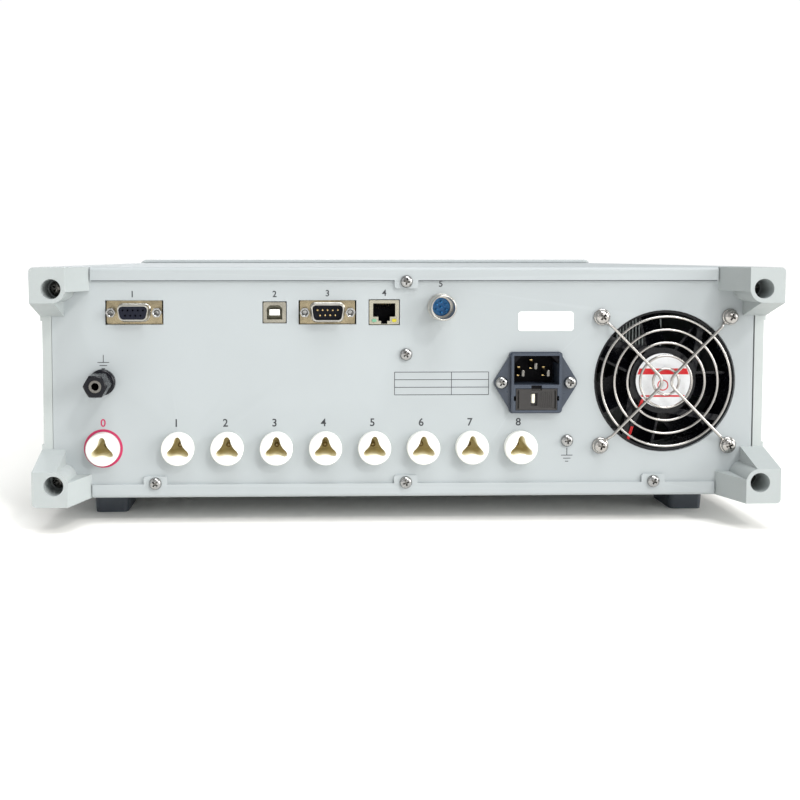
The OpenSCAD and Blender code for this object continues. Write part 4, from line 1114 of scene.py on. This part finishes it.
@dataclass
class Ports:
    """Nine-way ports, square port, network port and ground socket."""
    female: Flat = (16.6, 8.2)
    male: Flat = (17.9, 9.2)
    corner: float = 2.2
    flange_y: float = -197.2
    press: tuple[Flat, ...] = (
        (2.1, 0.02), (1.8, -0.3), (1.4, -0.5), (0.9, -0.65), (0.4, -0.9), (0.12, -1.6),
        (0.08, -5.2), (-0.1, -5.78), (-0.45, -5.92), (-0.85, -5.78), (-0.98, -5.3), (-0.98, -4.6))
    tongue: Flat = (2.9, 1.7)
    lining: Flat = (4.5, 4.2)
    contact: tuple[Flat, ...] = ((-196.4, 4.6), (-194.6, 4.4), (-189, 1.2))
    contact_x: float = -3.57
    contact_pitch: float = 1.02
    lamps: tuple[tuple[str, float, Colour], ...] = (
        ("left", -5.5, srgb(104, 160, 130)), ("right", 5.5, srgb(188, 176, 36)))
    lamp_z: float = -4.5
    lamp_y: Flat = (-198.55, -198.2)
    stud_r: float = 3.6
    stud_y: float = -205.0

    def build(self, layout: Layout) -> None:
        """Makes the ports.

        Args:
            layout: Where they are.
        """
        for node, x, size in (("handler_port", layout.handler_x, self.female),
                              ("serial_port", layout.serial_x, self.male)):
            form = Form.of_node(node).soften(0.12)
            centre, (across, up) = (x, layout.port_z), (size[0] / 2, size[1] / 2)
            form.loft([(keyed(size[0] + grow, size[1] + grow, self.corner + max(grow, 0) / 2,
                              centre), self.flange_y + rise) for grow, rise in self.press])
            form.paint(1, lambda c, n: c.y < self.flange_y - 0.4)
            form.within(1, (x - across, self.flange_y - 1, layout.port_z - up),
                        (x + across, self.flange_y + 5, layout.port_z + up))
            form.stand_in(node, f"{node}_shell", [ZINC, SHELL])
        self.square_port(layout.usb_x, layout.port_z)
        self.network_port(layout.lan_x, layout.port_z)
        self.ground(layout.left_x, layout.ground_z)

    def square_port(self, x: float, z: float) -> None:
        """Makes the square port with its white tongue.

        Args:
            x: Its middle across the panel.
            z: Its middle height.
        """
        form = Form.of_node("usb_port").soften(0.1)
        # Material 2 paints shade on the port's inside walls; material 1 is the white tongue.
        for index, (across, up), low, high in ((2, self.lining, -199, -180),
                                               (1, self.tongue, -200, -185)):
            form.within(index, (x - across, low, z - up), (x + across, high, z + up))
        form.stand_in("usb_port", "square_port_body", [PORT_FRAME, TONGUE, PORT_LINING_SHADE])

    def network_port(self, x: float, z: float) -> None:
        """Makes the network port with its black cavity, contacts and two lamps.

        Args:
            x: Its middle across the panel.
            z: Its middle height.
        """
        form = Form.of_node("lan_port").soften(0.1)
        form.within(1, (x - 6.9, -198.1, z - 7.2), (x + 6.9, -180, z + 5.9))
        form.stand_in("lan_port", "network_port_body", [CREAM_SHELL, CAVITY_BLACK_AND_SHADE])
        contacts = Wires(0.16, 2)
        for i in range(8):
            spot = x + self.contact_x + self.contact_pitch * i
            contacts.run(bent([(spot, y, z + up) for y, up in self.contact], 1))
        contacts.into(Form()).trim("network_contacts", BRASS, "contact_brass")
        for side, across, tone in self.lamps:
            lamp = Finish(f"lamp_{side}", tone, 0.2, 0.05, (0.1, 2), (2, 0.7), glow=0.02)
            form = Form().prism(slab(2.6, 1.8, 0.85, (x + across, z + self.lamp_z)), *self.lamp_y)
            form.soften(0.15).trim(f"network_lamp_{side}", lamp, "shell_steel")

    def ground(self, x: float, z: float) -> None:
        """Makes the ground socket with its metal stud."""
        form = Form.of_node("ground_post").soften(0.15)
        form.paint(1, lambda c, n: math.hypot(c.x - x, c.z - z) < self.stud_r
                   and c.y < self.stud_y)
        form.stand_in("ground_post", "ground_post_body", [CAP_BLACK, DARK_STEEL_AND_SHADE])


@dataclass
class Inlet:
    """Mains inlet with its fuse drawer."""
    face: float = -202.5
    cavity: Flat = (13.4, 16.0)
    cavity_y: Flat = (0.4, 36.0)
    cavity_z: float = 7.05
    pins: tuple[Flat, ...] = ((-7, -2), (0, 2), (7, -2))
    root: tuple[float, ...] = (1.6, 0.6, 0.25)
    root_z: float = 2.3
    root_y: Flat = (15.6, 17.0)
    drawer_z: float = -9.0
    window: tuple[Flat, Flat] = ((-3.1, -3.4), (0.5, 3.4))
    window_d: float = 1.6
    latch: tuple[float, ...] = (1.1, 9.4, 0.3)
    latch_at: Flat = (10.2, -0.3)
    latch_d: float = 1.2
    ribs: int = 7
    rib_x: float = 1.75
    rib_pitch: float = 1.15
    rib_half: float = 0.28
    rib_z: Flat = (-4.6, 4.2)
    fuse: Flat = (1.15, 2.5)

    def build(self, layout: Layout) -> None:
        """Makes the inlet's pieces.

        Args:
            layout: Where the inlet is.
        """
        (x, z), face = layout.inlet, self.face
        across, up = self.cavity
        body = Form.of_node("inlet_body").soften(0.35, 3)
        # The inlet's cavity walls get near black painted shade.
        body.within(1, (x - across, face + self.cavity_y[0], z - up),
                    (x + across, face + self.cavity_y[1], z + up))
        body.stand_in("inlet_body", "inlet_housing", [INLET, CAVITY_BLACK_AND_SHADE])
        # The blades get the dark steel colour: painted shade on bright pins deep in the cavity.
        Form.of_node("inlet_pins").soften(0.8, 3).stand_in("inlet_pins", "inlet_blades", DARK_STEEL_AND_SHADE)
        roots = Form()
        for px, pz in self.pins:
            for end in (-1, 1):
                spot = (x + px, z + self.cavity_z + pz + end * self.root_z)
                roots.prism(slab(*self.root, spot, 3), face + self.root_y[0], face + self.root_y[1])
        roots.trim("blade_roots", BRASS, "nickel_steel")
        self.drawer(x, z + self.drawer_z)

    def drawer(self, x: float, z: float) -> None:
        """Makes the fuse drawer with its window and latches.

        Args:
            x: Its middle across the panel.
            z: Its middle height.
        """
        (left, low), (right, high) = self.window
        outside = self.face - 1
        form = Form.of_node("fuse_drawer")
        form.cut(Form().bar((x + left, z + low), (x + right, z + high), outside,
                            self.face + self.window_d))
        for side in (-1, 1):
            spot = (x + side * self.latch_at[0], z + self.latch_at[1])
            form.cut(Form().prism(slab(*self.latch, spot, 2), outside, self.face + self.latch_d))
        for i in range(self.ribs):
            rib = x + self.rib_x + self.rib_pitch * i
            form.bar((rib - self.rib_half, z + self.rib_z[0]),
                     (rib + self.rib_half, z + self.rib_z[1]), self.face - 0.25, self.face + 0.2)
        form.soften(0.15).stand_in("fuse_drawer", "drawer_body", DRAWER)
        radius, half = self.fuse
        end = Form().turned([(0, -half), (radius, -half), (radius, half), (0, half)],
                            (x + left + 1.3, self.face + 1.5, z + 0.5), Axis.Z, 24)
        end.soften(0.15).piece("fuse_end", IVORY, "drawer", "inlet_plastic")


@dataclass
class Seam:
    """Dark strip that paints the shadow line under the cover's flange."""
    half: float = 172.2
    tab_half: float = 6.7
    flange_h: float = 7.3
    height: float = 0.36
    proud: float = 0.3

    def build(self, layout: Layout) -> None:
        """Lays the strip on both sides of the cover's tab.

        Args:
            layout: Where the panel's pieces are.
        """
        top, y = layout.top_z - self.flange_h, layout.panel_y
        form = Form()
        for side in (-1, 1):
            near, far = sorted((side * self.tab_half, side * self.half))
            form.bar((near, top - self.height), (far, top), y - self.proud, y)
        # Painted shadow: the thin dark strip stands for the shade under the flange.
        form.trim("flange_painted_shadow_line", SLATE, "black_plastic")


@dataclass
class Plain:
    """Nodes that keep their shape, and get a finish and softer edges where they have a width."""
    rows: tuple[tuple[Finish, float, str], ...] = (
        (PAINT, 0.12, "rear_panel chassis_tray top_cover"),
        (SIDE_PAINT, 0.25, "side_panel_left side_panel_right"),
        (FRAME, 0.7, "front_frame"), (PAINT, 0.15, "front_panel"), (GLASS, 0.3, "display_window"),
        (GREY_METAL, 0.3, "display_module"), (BOARD, 0, "front_board"),
        (BUMPER, 0.7, "bumper_top_left bumper_top_right bumper_bottom_left bumper_bottom_right"),
        (SLATE, 0.6, "rear_feet"), (SLATE, 0.3, "front_feet"),
        (SLATE, 0.4, "tilt_leg_left tilt_leg_right"), (INSERT, 0.05, "port_inserts"),
        (BRASS, 0, "serial_pins"), (NICKEL, 0.1, "port_jackscrews"),
        (SHELL, 0.15, "foot_switch_socket"), (BLUE, 0.1, "foot_switch_insert"),
        (CAP_BLACK, 0.2, "ground_post_cap"), (ZINC, 0, "socket_contacts"),
        (FAN_BLACK, 0.2, "fan_frame"), (FAN_BLACK, 0.1, "fan_rotor"), (BOARD, 0, "main_board"),
        (GREY_METAL, 0.2, "power_supply"), (FERRITE, 0.3, "pulse_transformer"),
        (BOARD, 0, "relay_board"), (KEYS, 0.5, "power_button"), (GREEN, 0.6, "start_button"),
        (RED, 0.6, "stop_button"), (SLATE, 0.3, "knob"),
        (KEYS, 0.5, "soft_key_1 soft_key_2 soft_key_3 soft_key_4"))

    def build(self) -> None:
        """Dresses the nodes."""
        for finish, width, nodes in self.rows:
            for node in nodes.split():
                if width:
                    Form.of_node(node).soften(width).stand_in(node, f"{node}_soft", finish)
                else:
                    slots = frame["nodes"][node].data.materials
                    slots.clear()
                    slots.append(finish.material())


@dataclass
class Studio:
    """Floor, lights and camera."""
    floor: float = 6000.0
    suns: tuple[tuple[str, Point, float, float, Colour], ...] = (
        ("key", (0.42, -0.62, 0.66), 1.0, 8, (1, 0.985, 0.965)),
        ("side", (0.88, -0.4, 0.25), 1.7, 28, (1, 0.995, 0.985)),
        ("top", (0.15, -0.3, 0.94), 1.65, 30, (0.975, 0.99, 1)),
        ("rim", (-0.1, 0.8, 0.6), 0.7, 25, (0.97, 0.985, 1)),
        ("fill", (-0.7, -0.5, 0.35), 0.2, 40, (0.96, 0.98, 1)))
    panels: tuple[tuple[str, Point, Point, float, float], ...] = (
        ("softbox", (500, -950, 420), (60, -198, 60), 420, 1.3),
        ("low", (-30, -360, 0), (-30, -198, 20), 300, 0.08))
    world_light: float = 0.48
    backdrop: float = 1.02
    lens: float = 48.45
    place: Point = (-56, -788, 147.5)
    yaw: float = 1.5
    pitch: float = 3.2
    shift: Flat = (0.0844, -0.1037)

    def build(self) -> None:
        """Sets up the stage."""
        half = self.floor
        mesh = Form().bar((-half, -half), (half, half), -20, -0.02, Axis.Z).mesh("studio_floor")
        mesh.materials.append(FLOOR.material())
        linked("studio_floor", mesh)
        for name, towards, strength, angle, tone in self.suns:
            lamp = bpy.data.lights.new(name, "SUN")
            lamp.energy, lamp.angle, lamp.color = strength, math.radians(angle), tone
            self.aim(linked(name, lamp), Vector(towards))
        for name, spot, aim, size, power in self.panels:
            lamp = bpy.data.lights.new(name, "AREA")
            lamp.shape, lamp.size, lamp.energy = "SQUARE", size * MM, power
            made = linked(name, lamp)
            made.location = Vector(spot) * MM
            self.aim(made, Vector(spot) - Vector(aim))
        self.world()
        bpy.context.scene.view_settings.view_transform = "Standard"
        self.camera()

    def aim(self, lamp: bpy.types.Object, back: Vector) -> None:
        """Turns a lamp so that its back faces along a vector."""
        lamp.rotation_euler = back.to_track_quat("Z", "Y").to_euler()

    def world(self) -> None:
        """Surrounds the scene with white that lights it gently."""
        world = bpy.data.worlds.new("studio")
        world.use_nodes = True
        tree = world.node_tree
        tree.nodes.clear()
        ray = tree.nodes.new("ShaderNodeLightPath")
        share = tree.nodes.new("ShaderNodeMapRange")
        share.inputs["To Min"].default_value = self.world_light
        share.inputs["To Max"].default_value = self.backdrop
        sky = tree.nodes.new("ShaderNodeBackground")
        out = tree.nodes.new("ShaderNodeOutputWorld")
        sky.inputs["Color"].default_value = (1, 1, 1, 1)
        tree.links.new(ray.outputs["Is Camera Ray"], share.inputs["Value"])
        tree.links.new(share.outputs["Result"], sky.inputs["Strength"])
        tree.links.new(sky.outputs[0], out.inputs["Surface"])
        bpy.context.scene.world = world

    def camera(self) -> None:
        """Sets the camera at the photograph's viewing angle."""
        lens = bpy.data.cameras.new("camera")
        lens.lens, lens.sensor_width = self.lens, 36
        lens.shift_x, lens.shift_y = self.shift
        lens.clip_start, lens.clip_end = 0.01, 30
        made = linked("camera", lens)
        made.location = Vector(self.place) * MM
        made.rotation_euler = (math.radians(90 - self.pitch), 0, math.radians(-self.yaw))
        bpy.context.scene.camera = made


def main() -> None:
    """Builds the sub-assemblies in order."""
    logging.basicConfig(level=logging.INFO, format="%(name)s: %(message)s")
    Studio().build()
    layout = Layout()
    for part in (Screws(), Prints(), Front(), Guard(), FanFace(), Sockets(), Ports(), Inlet(),
                 Seam()):
        part.build(layout)
    Plain().build()


if __name__ == "__main__":
    main()
